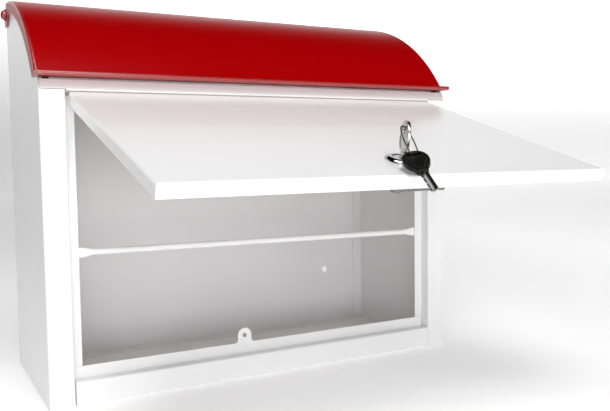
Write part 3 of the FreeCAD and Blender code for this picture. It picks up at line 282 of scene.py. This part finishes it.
def edgeGroup():
    # 1 on a rounded edge, 0 on a flat or gently curved face
    inputs, outputs = [("Radius", "NodeSocketFloat")], [("Mask", "NodeSocketFloat")]
    group, enter, leave = groupWith("edgeMask", inputs, outputs)
    soft = group.nodes.new("ShaderNodeBevel")
    soft.samples = effect["bevelSamples"]
    true = group.nodes.new("ShaderNodeNewGeometry")
    match = group.nodes.new("ShaderNodeVectorMath")
    match.operation = "DOT_PRODUCT"
    link = group.links.new
    link(enter.outputs["Radius"], soft.inputs["Radius"])
    link(soft.outputs["Normal"], match.inputs[0])
    link(true.outputs["Normal"], match.inputs[1])
    link(fadeNode(group, match.outputs["Value"], *effect["edgeFade"]), leave.inputs["Mask"])
    return group


effects = {"peel": peelGroup(), "tint": tintGroup(), "edge": edgeGroup()}


def addGroup(tree, name, values):
    node = tree.nodes.new("ShaderNodeGroup")
    node.node_tree = effects[name]
    for label, value in values.items():
        node.inputs[label].default_value = value
    return node


plainFinish = {"metallic": 0, "coat": 0, "coatRoughness": 0.05, "coatIor": 1.5, "ior": 1.5, "specular": 0.5}
finishSockets = {
    "metallic": "Metallic", "coat": "Coat Weight", "coatRoughness": "Coat Roughness", "coatIor": "Coat IOR",
    "ior": "IOR", "specular": "Specular IOR Level",
}


def surface(name, given):
    spec = {**plainFinish, **given}
    material = bpy.data.materials.new(name)
    material.use_nodes = True
    tree = material.node_tree
    shader = tree.nodes["Principled BSDF"]
    for label, socket in finishSockets.items():
        shader.inputs[socket].default_value = spec[label]
    tint = addGroup(tree, "tint", {"Scale": spec["tintScale"], "Light": spec["light"], "Dark": spec["dark"]})
    tree.links.new(tint.outputs["Color"], shader.inputs["Base Color"])
    rough = tree.nodes.new("ShaderNodeMapRange")
    rough.inputs["To Min"].default_value, rough.inputs["To Max"].default_value = spec["roughness"]
    tree.links.new(tint.outputs["Mask"], rough.inputs["Value"])
    tree.links.new(rough.outputs["Result"], shader.inputs["Roughness"])
    peel = addGroup(tree, "peel", {"Scale": spec["grain"], "Height": spec["height"], "Edge": spec["edge"]})
    tree.links.new(peel.outputs["Normal"], shader.inputs["Normal"])
    if "edgeCoat" in spec:
        edge = addGroup(tree, "edge", {"Radius": spec["edgeReach"]})
        weight = fadeNode(tree, edge.outputs["Mask"], 0, 1, spec["coat"], spec["edgeCoat"])
        tree.links.new(weight, shader.inputs["Coat Weight"])
    return material


whitePaint = surface("whitePaint", {
    "light": srgb(246, 246, 246), "dark": srgb(240, 240, 240), "tintScale": 9,
    "roughness": (0.25, 0.27), "grain": 420, "height": 0.02 * mm, "edge": 0.5 * mm, "coat": 0.15,
})
redPaint = surface("redPaint", {
    "light": srgb(160, 0, 3), "dark": srgb(152, 0, 2), "tintScale": 7, "ior": 1.8, "specular": 0.04,
    "edgeCoat": 1.0, "edgeReach": 2.6 * mm, "coatIor": 2.35, "coatRoughness": 0.29,
    "roughness": (0.28, 0.31), "grain": 380, "height": 0.02 * mm, "edge": 0.8 * mm,
})
chrome = surface("chrome", {
    "light": srgb(222, 222, 224), "dark": srgb(205, 205, 208), "tintScale": 260, "metallic": 1,
    "roughness": (0.05, 0.12), "grain": 900, "height": 0.01 * mm, "edge": 0.3 * mm,
})
zinc = surface("zincPlate", {
    "light": srgb(150, 152, 154), "dark": srgb(108, 110, 114), "tintScale": 320, "metallic": 1,
    "roughness": (0.26, 0.42), "grain": 1500, "height": 0.01 * mm, "edge": 0.3 * mm,
})
nickel = surface("keyNickel", {
    "light": srgb(216, 215, 211), "dark": srgb(176, 175, 171), "tintScale": 380, "metallic": 1,
    "roughness": (0.16, 0.3), "grain": 1800, "height": 0.005 * mm, "edge": 0.3 * mm,
})
darkSteel = surface("ringSteel", {
    "light": srgb(110, 110, 112), "dark": srgb(70, 70, 72), "tintScale": 500, "metallic": 1,
    "roughness": (0.25, 0.4), "grain": 1500, "height": 0.01 * mm, "edge": 0.2 * mm,
})
blackPlastic = surface("blackPlastic", {
    "light": srgb(14, 14, 13), "dark": srgb(9, 9, 8), "tintScale": 300, "specular": 0.16,
    "roughness": (0.34, 0.46), "grain": 1200, "height": 0.03 * mm, "edge": 0.6 * mm,
})
rubber = surface("blackRubber", {
    "light": srgb(34, 34, 34), "dark": srgb(26, 26, 26), "tintScale": 400,
    "roughness": (0.7, 0.85), "grain": 900, "height": 0.05 * mm, "edge": 0.4 * mm,
})

finishes = {
    "white_paint": whitePaint, "red_paint": redPaint, "bright_chrome": chrome, "zinc_plate": zinc,
    "key_nickel": nickel, "dark_steel": darkSteel, "black_plastic": blackPlastic, "black_rubber": rubber,
}
for part in frame["record"]["subparts"]:
    for slot in nodes[part["node"]].material_slots:
        slot.material = finishes[part["material_slot"]]
print("materials given to", len(nodes), "nodes")

# mesh helpers

weld = 0.0001 * mm      # points closer than this become one
noTurn = Matrix.Identity(4)


def newObject(name, mesh, material, sharp):
    mesh.materials.clear()
    mesh.materials.append(material)
    for face in mesh.polygons:
        face.use_smooth = True
    mesh.set_sharp_from_angle(angle=math.radians(sharp))
    piece = bpy.data.objects.new(name, mesh)
    bpy.context.scene.collection.objects.link(piece)
    return piece


def cleanMesh(name, shape, matrix=noTurn):
    bmesh.ops.remove_doubles(shape, verts=shape.verts, dist=weld)
    bmesh.ops.transform(shape, matrix=matrix, verts=shape.verts)
    bmesh.ops.recalc_face_normals(shape, faces=shape.faces)
    mesh = bpy.data.meshes.new(name)
    shape.to_mesh(mesh)
    shape.free()
    return mesh


def skin(shape, rings, closedRun=False, caps=False):
    grid = [[shape.verts.new(point) for point in ring] for ring in rings]
    count = len(grid[0])
    for i in range(len(grid) if closedRun else len(grid) - 1):
        here, there = grid[i], grid[(i + 1) % len(grid)]
        for j in range(count):
            k = (j + 1) % count
            shape.faces.new((here[j], here[k], there[k], there[j]))
    if caps:
        shape.faces.new(grid[0])
        shape.faces.new(grid[-1])


def circlePoints(radius, steps, middle=0.0):
    turns = [2 * math.pi * i / steps for i in range(steps)]
    return [(radius * math.cos(turn), middle + radius * math.sin(turn)) for turn in turns]


def levelRing(radius, height, steps):
    return [(x, y, height) for x, y in circlePoints(radius, steps)]


def softPoint(angle, power):
    # point on a rounded square with half sides of 1, a circle where the power is 2
    across, up = math.cos(angle), math.sin(angle)
    radius = (abs(across) ** power + abs(up) ** power) ** (-1 / power)
    return radius * across, radius * up


def plate(outlines, thick, soften, turn):
    # flat plate with rounded edges from closed outlines in its own xy plane
    data = bpy.data.curves.new("plate", "CURVE")
    data.dimensions = "2D"
    data.fill_mode = "BOTH"
    data.extrude = thick / 2 - soften
    data.bevel_depth = soften
    data.bevel_resolution = 2
    data.offset = -soften
    for outline in outlines:
        line = data.splines.new("POLY")
        line.points.add(len(outline) - 1)
        for point, (x, y) in zip(line.points, outline):
            point.co = (x, y, 0, 1)
        line.use_cyclic_u = True
    source = bpy.data.objects.new("plate", data)
    bpy.context.scene.collection.objects.link(source)
    mesh = bpy.data.meshes.new_from_object(source)
    bpy.data.objects.remove(source)
    mesh.transform(turn)
    return mesh


def joined(plates):
    shape = bmesh.new()
    for mesh in plates:
        shape.from_mesh(mesh)
    return shape


def nodeTree(name, inputs):
    tree = bpy.data.node_groups.new(name, "GeometryNodeTree")
    tree.interface.new_socket("Geometry", in_out="OUTPUT", socket_type="NodeSocketGeometry")
    for label, kind in inputs:
        tree.interface.new_socket(label, in_out="INPUT", socket_type="NodeSocket" + kind)
    return tree, tree.nodes.new("NodeGroupInput"), tree.nodes.new("NodeGroupOutput")


def closeTree(tree, enter, leave, source):
    # every tree ends in real geometry with its material set
    real = tree.nodes.new("GeometryNodeRealizeInstances")
    paint = tree.nodes.new("GeometryNodeSetMaterial")
    tree.links.new(source, real.inputs["Geometry"])
    tree.links.new(real.outputs["Geometry"], paint.inputs["Geometry"])
    tree.links.new(enter.outputs["Material"], paint.inputs["Material"])
    tree.links.new(paint.outputs["Geometry"], leave.inputs["Geometry"])


def grow(name, tree, values, start=None):
    # evaluates a tree and keeps the result as a plain mesh
    source = bpy.data.objects.new(name, start or bpy.data.meshes.new(name))
    bpy.context.scene.collection.objects.link(source)
    modifier = source.modifiers.new(name, "NODES")
    modifier.node_group = tree
    for item in tree.interface.items_tree:
        if item.item_type == "SOCKET" and item.in_out == "INPUT" and item.name in values:
            modifier[item.identifier] = values[item.name]
    mesh = bpy.data.meshes.new_from_object(source.evaluated_get(bpy.context.evaluated_depsgraph_get()))
    source.modifiers.remove(modifier)
    bpy.data.objects.remove(source)
    return mesh


# the lock's own frame: x to the right, y towards the door hinge, z out of the door

lockJoint = [joint for joint in frame["joints"] if joint["name"] == "lock_turn"][0]
outward = -Vector(lockJoint["axis"]).normalized()
hingeward = outward.cross(Vector((1, 0, 0)))
lockTurn = Matrix((Vector((1, 0, 0)), hingeward, outward)).transposed().to_4x4()
lockPlace = Matrix.Translation(Vector(lockJoint["pos_m"])) @ lockTurn


# lock housing: polished bezel, threaded barrel with two flats

bezel = {
    "bore": 6.06 * mm, "outer": 11 * mm, "height": 2.6 * mm, "steps": 72,
    "lip": ((0, 0.55), (0.12, 0.28), (0.45, 0.16), (0.8, 0.22), (1.0, 0.06), (1.4, 0)),      # mm out, mm down
    "crownStart": 1.6 * mm, "crownSteps": 12, "skirt": 0.12,      # the crown ends at this share of the height
    "barrel": 8.2 * mm, "flat": 7.3 * mm, "length": 15.8 * mm, "undercut": 0.1 * mm,
    "pitch": 1.0 * mm, "threadDepth": 0.34 * mm, "rowsPerTurn": 6, "rowsIn": 8, "rowsOut": 6,
}


def threadRing(row, rows):
    # the thread fades in below the bezel and out at the barrel's end
    spec = bezel
    height = -spec["length"] * row / rows
    fade = min(1, (rows - row) / spec["rowsOut"], row / spec["rowsIn"])
    ring = []
    for j in range(spec["steps"]):
        turn = 2 * math.pi * j / spec["steps"]
        wave = abs(((height / spec["pitch"] + j / spec["steps"]) % 1) * 2 - 1)
        radius = spec["barrel"] - spec["threadDepth"] * (1 - wave * fade)
        x, y = radius * math.cos(turn), radius * math.sin(turn)
        ring.append((x, max(-spec["flat"], min(spec["flat"], y)), height))
    return ring


def makeLockHousing():
    spec = bezel
    top, bore, start = spec["height"], spec["bore"], spec["bore"] + spec["crownStart"]
    profile = [(bore + out * mm, top - down * mm) for out, down in spec["lip"]]
    for step in range(1, spec["crownSteps"] + 1):
        angle = math.pi / 2 * step / spec["crownSteps"]
        share = spec["skirt"] + (1 - spec["skirt"]) * math.cos(angle)
        profile.append((start + (spec["outer"] - start) * math.sin(angle), top * share))
    profile += [(spec["outer"], 0.0), (spec["barrel"] - spec["undercut"], 0.0)]
    rows = int(spec["length"] / spec["pitch"] * spec["rowsPerTurn"])
    rings = [levelRing(radius, height, spec["steps"]) for radius, height in profile]
    rings += [threadRing(row, rows) for row in range(1, rows + 1)]
    rings.append(levelRing(bore, -spec["length"], spec["steps"]))
    shape = bmesh.new()
    skin(shape, rings, closedRun=True)
    piece = newObject("lockHousing", cleanMesh("lockHousing", shape, lockPlace), chrome, sharp=30)
    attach(piece, "door")
    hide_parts("lock_housing")


makeLockHousing()
print("lock housing made")


# keys and ring

houseKey = {
    "turn": math.radians(-113), "bowLow": 5.8 * mm, "width": 21 * mm, "height": 21 * mm, "thick": 2 * mm,
    "bowSteps": 56, "topPower": 2.2, "stemPower": 2.6, "soften": 0.22 * mm,
    "blade": 6.0 * mm, "tip": -13.4 * mm, "point": 1.6 * mm, "shoulder": 0.4 * mm,
    "hole": 3.0 * mm, "holeSteps": 32, "inset": 5.6 * mm,
    "rim": 1.3 * mm, "rimInset": 0.9 * mm, "rimProud": 0.5 * mm, "rimSoften": 0.2 * mm,
    "collar": 1.0 * mm, "collarProud": 0.4 * mm, "collarSoften": 0.15 * mm,
}


def bowOutline(shrink=0.0):
    # rounded bow that narrows towards its stem, with soft shoulders
    spec = houseKey
    half = spec["width"] / 2 - shrink
    low, high = spec["bowLow"] + shrink, spec["bowLow"] + spec["height"] - shrink
    middle, rise = (low + high) / 2, (high - low) / 2
    points = []
    for step in range(spec["bowSteps"]):
        angle = -math.pi / 2 + 2 * math.pi * (step + 0.5) / spec["bowSteps"]
        power = spec["stemPower"] if math.sin(angle) < 0 else spec["topPower"]
        across, up = softPoint(angle, power)
        points.append((half * across, middle + rise * up))
    return points


def makeLockKey():
    spec = houseKey
    half, tip, low = spec["blade"] / 2, spec["tip"], spec["bowLow"] + spec["shoulder"]
    bow = bowOutline()
    start = next(i for i, point in enumerate(bow) if point[0] > half)
    outline = [(-half, low), (-half, tip), (0, tip - spec["point"]), (half, tip), (half, low)]
    outline += bow[start:len(bow) - start]
    middle = spec["bowLow"] + spec["height"] - spec["inset"]
    hole = circlePoints(spec["hole"], spec["holeSteps"], middle)[::-1]
    collar = circlePoints(spec["hole"] + spec["collar"], spec["holeSteps"], middle)
    rim = bowOutline(spec["rimInset"])
    rimInside = bowOutline(spec["rimInset"] + spec["rim"])[::-1]
    upright = Matrix.Rotation(math.pi / 2, 4, "X")
    place = lockPlace @ Matrix.Rotation(spec["turn"], 4, "Z") @ upright
    plates = [
        plate([outline, hole], spec["thick"], spec["soften"], place),
        plate([rim, rimInside], spec["thick"] + spec["rimProud"], spec["rimSoften"], place),
        plate([collar, hole], spec["thick"] + spec["collarProud"], spec["collarSoften"], place),
    ]
    piece = newObject("lockKey", cleanMesh("lockKey", joined(plates)), nickel, sharp=40)
    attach(piece, "lock")
    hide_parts("lock_key")


splitRing = {
    "radius": 11.95 * mm, "wide": 1.1 * mm, "thick": 0.4 * mm, "pitch": 0.43 * mm, "turns": 2.0, "steps": 96,
    "corner": 0.12 * mm, "cornerSteps": 2, "startAngle": 0.9,
    "fall": Vector((-0.2318, -0.8079, -0.5418)), "crossing": Vector((0.787, 0.172, -0.593)),
}


def holeOfLockKey():
    return Vector((0, 0, houseKey["bowLow"] + houseKey["height"] - houseKey["inset"]))


def ringTree():
    # flat wire swept along a coil
    inputs = [
        ("Radius", "Float"), ("Turns", "Float"), ("Rise", "Float"), ("Wide", "Float"), ("Thick", "Float"),
        ("Corner", "Float"), ("Steps", "Int"), ("Material", "Material"),
    ]
    tree, enter, leave = nodeTree("coiledRing", inputs)
    coil = tree.nodes.new("GeometryNodeCurveSpiral")
    upright = tree.nodes.new("GeometryNodeSetCurveNormal")
    upright.mode = "Z_UP"
    section = tree.nodes.new("GeometryNodeCurvePrimitiveQuadrilateral")
    rounded = tree.nodes.new("GeometryNodeFilletCurve")
    rounded.mode = "POLY"
    rounded.inputs["Count"].default_value = splitRing["cornerSteps"]
    sweep = tree.nodes.new("GeometryNodeCurveToMesh")
    sweep.inputs["Fill Caps"].default_value = True
    link = tree.links.new
    link(enter.outputs["Steps"], coil.inputs["Resolution"])
    link(enter.outputs["Turns"], coil.inputs["Rotations"])
    link(enter.outputs["Radius"], coil.inputs["Start Radius"])
    link(enter.outputs["Radius"], coil.inputs["End Radius"])
    link(enter.outputs["Rise"], coil.inputs["Height"])
    link(enter.outputs["Wide"], section.inputs["Width"])
    link(enter.outputs["Thick"], section.inputs["Height"])
    link(enter.outputs["Corner"], rounded.inputs["Radius"])
    link(coil.outputs["Curve"], upright.inputs["Curve"])
    link(section.outputs["Curve"], rounded.inputs["Curve"])
    link(upright.outputs["Curve"], sweep.inputs["Curve"])
    link(rounded.outputs["Curve"], sweep.inputs["Profile Curve"])
    closeTree(tree, enter, leave, sweep.outputs["Mesh"])
    return tree


def makeKeyRing():
    spec = splitRing
    rise = spec["turns"] * spec["pitch"]
    values = {
        "Radius": spec["radius"], "Turns": spec["turns"], "Rise": rise, "Wide": spec["wide"],
        "Thick": spec["thick"], "Corner": spec["corner"], "Steps": spec["steps"], "Material": darkSteel,
    }
    mesh = grow("keyRing", ringTree(), values)
    fall = spec["fall"].normalized()
    cross = (spec["crossing"] - fall * spec["crossing"].dot(fall)).normalized()
    centre = holeOfLockKey() + fall * spec["radius"]
    lie = Matrix((fall, cross, fall.cross(cross))).transposed().to_4x4()
    place = lockPlace @ Matrix.Translation(centre) @ lie @ Matrix.Rotation(spec["startAngle"], 4, "Z")
    mesh.transform(place @ Matrix.Translation((0, 0, -rise / 2)))
    piece = newObject("keyRing", mesh, darkSteel, sharp=50)
    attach(piece, "lock")
    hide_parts("key_ring")


spareKey = {
    "axis": Vector((0.3366, 0.933, 0.1275)), "across": Vector((0.8965, -0.3589, 0.2598)),
    "width": 17 * mm, "length": 23.5 * mm, "thick": 4.2 * mm, "soften": 0.7 * mm,
    "widest": 0.52,      # where the head is widest, as a share of its length
    "sideSteps": 14, "sidePower": 0.75, "topSteps": 20, "topPower": 2.2,
    "neck": 9.2 * mm, "foot": 7.0 * mm, "neckLength": 5.5 * mm, "flare": 6.4 * mm, "footCorner": 0.8 * mm,
    "neckShrink": 0.6, "footShrink": 2,      # how far neck and foot draw in with a smaller outline
    "slot": (10 * mm, 5.6 * mm), "slotSteps": 12, "inset": 5.6 * mm, "brow": 2 * mm, "browSoften": 0.4 * mm,
    "rim": 2.0 * mm, "rimInset": 0.1 * mm, "rimProud": 0.5 * mm, "rimSoften": 0.6 * mm,
}


def sparePlace():
    spec = spareKey
    along = spec["axis"].normalized()
    across = (spec["across"] - along * spec["across"].dot(along)).normalized()
    face = along.cross(across)
    turn = Matrix((across, face, along)).transposed().to_4x4()
    hole = holeOfLockKey() + splitRing["fall"].normalized() * 2 * splitRing["radius"]
    middle = Vector((0, 0, spec["length"] - spec["inset"]))
    return lockPlace @ Matrix.Translation(hole) @ turn @ Matrix.Translation(-middle)


def headOutline(shrink=0.0):
    # wide round top that tapers in a soft line to the shoulder
    spec = spareKey
    half, inward, corner = spec["width"] / 2 - shrink, shrink * spec["neckShrink"], spec["footCorner"]
    neck, foot = spec["neck"] / 2 - inward, spec["foot"] / 2 - inward
    bottom = -spec["neckLength"] + shrink * spec["footShrink"]
    low = bottom + spec["flare"]
    widest = spec["length"] * spec["widest"]
    rise = spec["length"] - widest - shrink
    right = [(foot - corner, bottom), (foot, bottom + corner), (neck, low)]
    for step in range(1, spec["sideSteps"]):
        share = step / spec["sideSteps"]
        swell = math.sin(math.pi / 2 * share) ** spec["sidePower"]
        right.append((neck + (half - neck) * swell, low + (widest - low) * share))
    for step in range(spec["topSteps"]):
        across, up = softPoint(math.pi / 2 * step / spec["topSteps"], spec["topPower"])
        right.append((half * across, widest + rise * up))
    left = [(-x, y) for x, y in reversed(right)]
    return right + [(0, widest + rise)] + left


def slotOutline(width, height, middle):
    steps, reach, radius = spareKey["slotSteps"], (width - height) / 2, height / 2
    points = []
    for side, begin in ((1, -90), (-1, 90)):
        for step in range(steps + 1):
            angle = math.radians(begin + 180 * step / steps)
            points.append((side * reach + radius * math.cos(angle), middle + radius * math.sin(angle)))
    return points


def makeSpareHead():
    spec = spareKey
    width, height = spec["slot"]
    middle = spec["length"] - spec["inset"]
    hole = slotOutline(width, height, middle)[::-1]
    brow = slotOutline(width + spec["brow"], height + spec["brow"], middle)
    rim = headOutline(spec["rimInset"])
    rimInside = headOutline(spec["rimInset"] + spec["rim"])[::-1]
    place = sparePlace() @ Matrix.Rotation(math.pi / 2, 4, "X")
    plates = [
        plate([headOutline(), hole], spec["thick"] - spec["rimProud"], spec["soften"], place),
        plate([rim, rimInside], spec["thick"], spec["rimSoften"], place),
        plate([brow, hole], spec["thick"], spec["browSoften"], place),
    ]
    piece = newObject("spareKeyHead", cleanMesh("spareKeyHead", joined(plates)), blackPlastic, sharp=40)
    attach(piece, "lock")
    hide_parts("spare_key_head")


spareBlade = {
    "width": 5.2 * mm, "length": 25.5 * mm, "thick": 2 * mm, "root": 1.5 * mm, "stations": 90,
    "face": ((-1, 0.2), (-0.5, 0.2), (-0.02, -1), (0.9, -1), (1, -0.6)),      # ledge, milled slope, flat
    "cuts": (0.9, 0.4, 1.2, 0.7, 1.1, 0.3), "cutPitch": 3.4 * mm, "firstCut": 5 * mm, "ramp": 0.3,
    "nose": 2.4 * mm, "noseBack": 2.2 * mm, "noseCut": 2.4 * mm, "noseThin": 0.35,
}


def makeSpareBlade():
    spec = spareBlade
    half, foot = spec["width"] / 2, -spareKey["neckLength"]
    start, end = foot + spec["root"], foot - spec["length"]
    section = spec["face"] + tuple((-u, -v) for u, v in spec["face"])
    rings = []
    for i in range(spec["stations"] + 1):
        height = start + (end - start) * i / spec["stations"]
        inward = (foot - spec["firstCut"] - height) / spec["cutPitch"]
        cut = 0.0
        if 0 <= inward < len(spec["cuts"]):
            part = inward % 1
            ramp = min(1, part / spec["ramp"], (1 - part) / spec["ramp"])
            cut = spec["cuts"][int(inward)] * ramp * mm
        nose = max(0, end + spec["nose"] - height) / spec["nose"]
        back = half - nose * spec["noseBack"]
        front = half - max(cut, nose * spec["noseCut"])
        thin = spec["thick"] / 2 * (1 - spec["noseThin"] * nose)
        rings.append([(max(-front, min(back, u * half)), v * thin, height) for u, v in section])
    shape = bmesh.new()
    skin(shape, rings, caps=True)
    piece = newObject("spareKeyBlade", cleanMesh("spareKeyBlade", shape, sparePlace()), nickel, sharp=30)
    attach(piece, "lock")
    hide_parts("spare_key_blade")


makeLockKey()
makeKeyRing()
makeSpareHead()
makeSpareBlade()
print("keys and ring made")


# letter bar with its ends hammered flat

bar = {
    "radius": 2.7 * mm, "steps": 28, "roundPower": 2, "fall": 3.4 * mm, "span": 325 * mm,
    "flatHalf": 4.0 * mm, "flatThick": 2.0 * mm, "flatLength": 13 * mm, "flatPower": 6, "endCorner": 0.8 * mm,
    "ease": 9 * mm, "easeSteps": 10, "easeLead": 0.3,      # the share of the ease before the flat's end
}


def makeLetterBar():
    spec = bar
    low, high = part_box("letter_bar")
    reach, radius, ease = (high.x - low.x) / 2, spec["radius"], spec["ease"]
    centre = Vector((0, low.y + radius, (low.z + high.z) / 2))
    tilt = Matrix.Rotation(math.atan2(spec["fall"], spec["span"]), 4, "Y")      # lower at the right
    easeFrom = spec["flatLength"] - ease * spec["easeLead"]
    stations = [0, spec["endCorner"], spec["flatLength"] / 2]
    stations += [easeFrom + ease * step / spec["easeSteps"] for step in range(spec["easeSteps"] + 1)]
    rings = []
    for x in [-reach + s for s in stations] + [reach - s for s in reversed(stations)]:
        inward = reach - abs(x)
        blend = max(0, min(1, (inward - easeFrom) / ease))
        blend = blend * blend * (3 - 2 * blend)
        tall = spec["flatHalf"] + (radius - spec["flatHalf"]) * blend
        deep = spec["flatThick"] / 2 + (radius - spec["flatThick"] / 2) * blend
        if inward < spec["endCorner"] / 2:
            tall -= spec["endCorner"]
        power = spec["flatPower"] + (spec["roundPower"] - spec["flatPower"]) * blend
        ring = []
        for j in range(spec["steps"]):
            across, up = softPoint(2 * math.pi * j / spec["steps"], power)
            ring.append((x, -radius + deep + deep * across, tall * up))
        rings.append(ring)
    shape = bmesh.new()
    skin(shape, rings, caps=True)
    place = Matrix.Translation(centre) @ tilt
    piece = newObject("letterBar", cleanMesh("letterBar", shape, place), whitePaint, sharp=40)
    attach(piece, "box")
    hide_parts("letter_bar")


makeLetterBar()
print("letter bar made")


# a piece that sits on both sides of the box

def pairTree():
    inputs = [
        ("Piece", "Geometry"), ("Half Span", "Float"), ("Back", "Float"), ("Height", "Float"),
        ("Turn", "Float"), ("Material", "Material"),
    ]
    tree, enter, leave = nodeTree("bothSides", inputs)
    new, link = tree.nodes.new, tree.links.new
    begin, across, euler = [new("ShaderNodeCombineXYZ") for _ in range(3)]
    link(mathNode(tree, "MULTIPLY", enter.outputs["Half Span"], -1), begin.inputs["X"])
    link(enter.outputs["Back"], begin.inputs["Y"])
    link(enter.outputs["Height"], begin.inputs["Z"])
    link(mathNode(tree, "MULTIPLY", enter.outputs["Half Span"], 2), across.inputs["X"])
    places = new("GeometryNodeMeshLine")
    places.inputs["Count"].default_value = 2
    link(begin.outputs["Vector"], places.inputs["Start Location"])
    link(across.outputs["Vector"], places.inputs["Offset"])
    index = new("GeometryNodeInputIndex").outputs["Index"]
    side = mathNode(tree, "MULTIPLY_ADD", index, 2, -1)      # -1 on the left, 1 on the right
    link(mathNode(tree, "MULTIPLY", side, enter.outputs["Turn"]), euler.inputs["Y"])
    turn = new("FunctionNodeEulerToRotation")
    link(euler.outputs["Vector"], turn.inputs["Euler"])
    spread = new("GeometryNodeInstanceOnPoints")
    link(places.outputs["Mesh"], spread.inputs["Points"])
    link(enter.outputs["Piece"], spread.inputs["Instance"])
    link(turn.outputs["Rotation"], spread.inputs["Rotation"])
    closeTree(tree, enter, leave, spread.outputs["Instances"])
    return tree


bothSides = pairTree()


def putOnBothSides(name, shape, values, material, node):
    mesh = grow(name, bothSides, {**values, "Material": material}, cleanMesh(name, shape))
    piece = newObject(name, mesh, material, sharp=40)
    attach(piece, "box")
    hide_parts(node)


# lid pivot screws: smooth painted domes

pivotScrew = {
    "radius": 4 * mm, "steps": 40, "dome": 2.8 * mm, "domeSteps": 9, "rim": 0.5 * mm, "rimCorner": 0.15 * mm,
    "shank": 2.5 * mm, "shankCorner": 0.3 * mm, "length": 8.2 * mm, "pole": 0.01 * mm,
}


def makePivotScrews():
    spec = pivotScrew
    low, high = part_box("lid_pivot_screws")
    pole, shank, bottom, radius = spec["pole"], spec["shank"], -spec["length"], spec["radius"]
    shankCorner, rimCorner = spec["shankCorner"], spec["rimCorner"]
    profile = [
        (pole, bottom), (shank - shankCorner, bottom), (shank, bottom + shankCorner), (shank, 0),
        (radius - rimCorner, 0), (radius, rimCorner), (radius, spec["rim"]),
    ]
    for step in range(1, spec["domeSteps"] + 1):
        angle = math.pi / 2 * step / spec["domeSteps"]
        rise = spec["rim"] + (spec["dome"] - spec["rim"]) * math.sin(angle)
        profile.append((max(pole, radius * math.cos(angle)), rise))
    shape = bmesh.new()
    skin(shape, [levelRing(wide, height, spec["steps"]) for wide, height in profile], closedRun=True)
    values = {
        "Half Span": high.x - spec["dome"], "Back": (low.y + high.y) / 2, "Height": (low.z + high.z) / 2,
        "Turn": math.pi / 2,
    }
    putOnBothSides("lidPivotScrews", shape, values, redPaint, "lid_pivot_screws")


makePivotScrews()
print("pivot screws made")


# rubber bumpers: soft blocks with rounded corners

bumper = {"corner": 1.6 * mm, "cornerSteps": 5, "edge": 0.35 * mm, "edgeSteps": 3, "near": 0.001 * mm}


def soften(shape, edges, offset, steps):
    bmesh.ops.bevel(shape, geom=edges, offset=offset, segments=steps, affect="EDGES", profile=0.5)


def makeBumpers():
    spec = bumper
    low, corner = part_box("lid_bumpers")
    width, tall = corner.y - low.y, corner.z - low.z
    shape = bmesh.new()
    bmesh.ops.create_cube(shape, size=1, matrix=Matrix.Diagonal((width, width, tall, 1)))
    upright = [edge for edge in shape.edges if abs(edge.verts[0].co.z - edge.verts[1].co.z) > tall / 2]
    soften(shape, upright, spec["corner"], spec["cornerSteps"])
    upper = [vert for vert in shape.verts if abs(vert.co.z - tall / 2) < spec["near"]]
    top = [edge for edge in shape.edges if all(vert in upper for vert in edge.verts)]
    soften(shape, top, spec["edge"], spec["edgeSteps"])
    values = {
        "Half Span": corner.x - width / 2, "Back": (low.y + corner.y) / 2, "Height": (low.z + corner.z) / 2,
        "Turn": 0.0,
    }
    putOnBothSides("lidBumpers", shape, values, rubber, "lid_bumpers")


makeBumpers()
print("bumpers made")
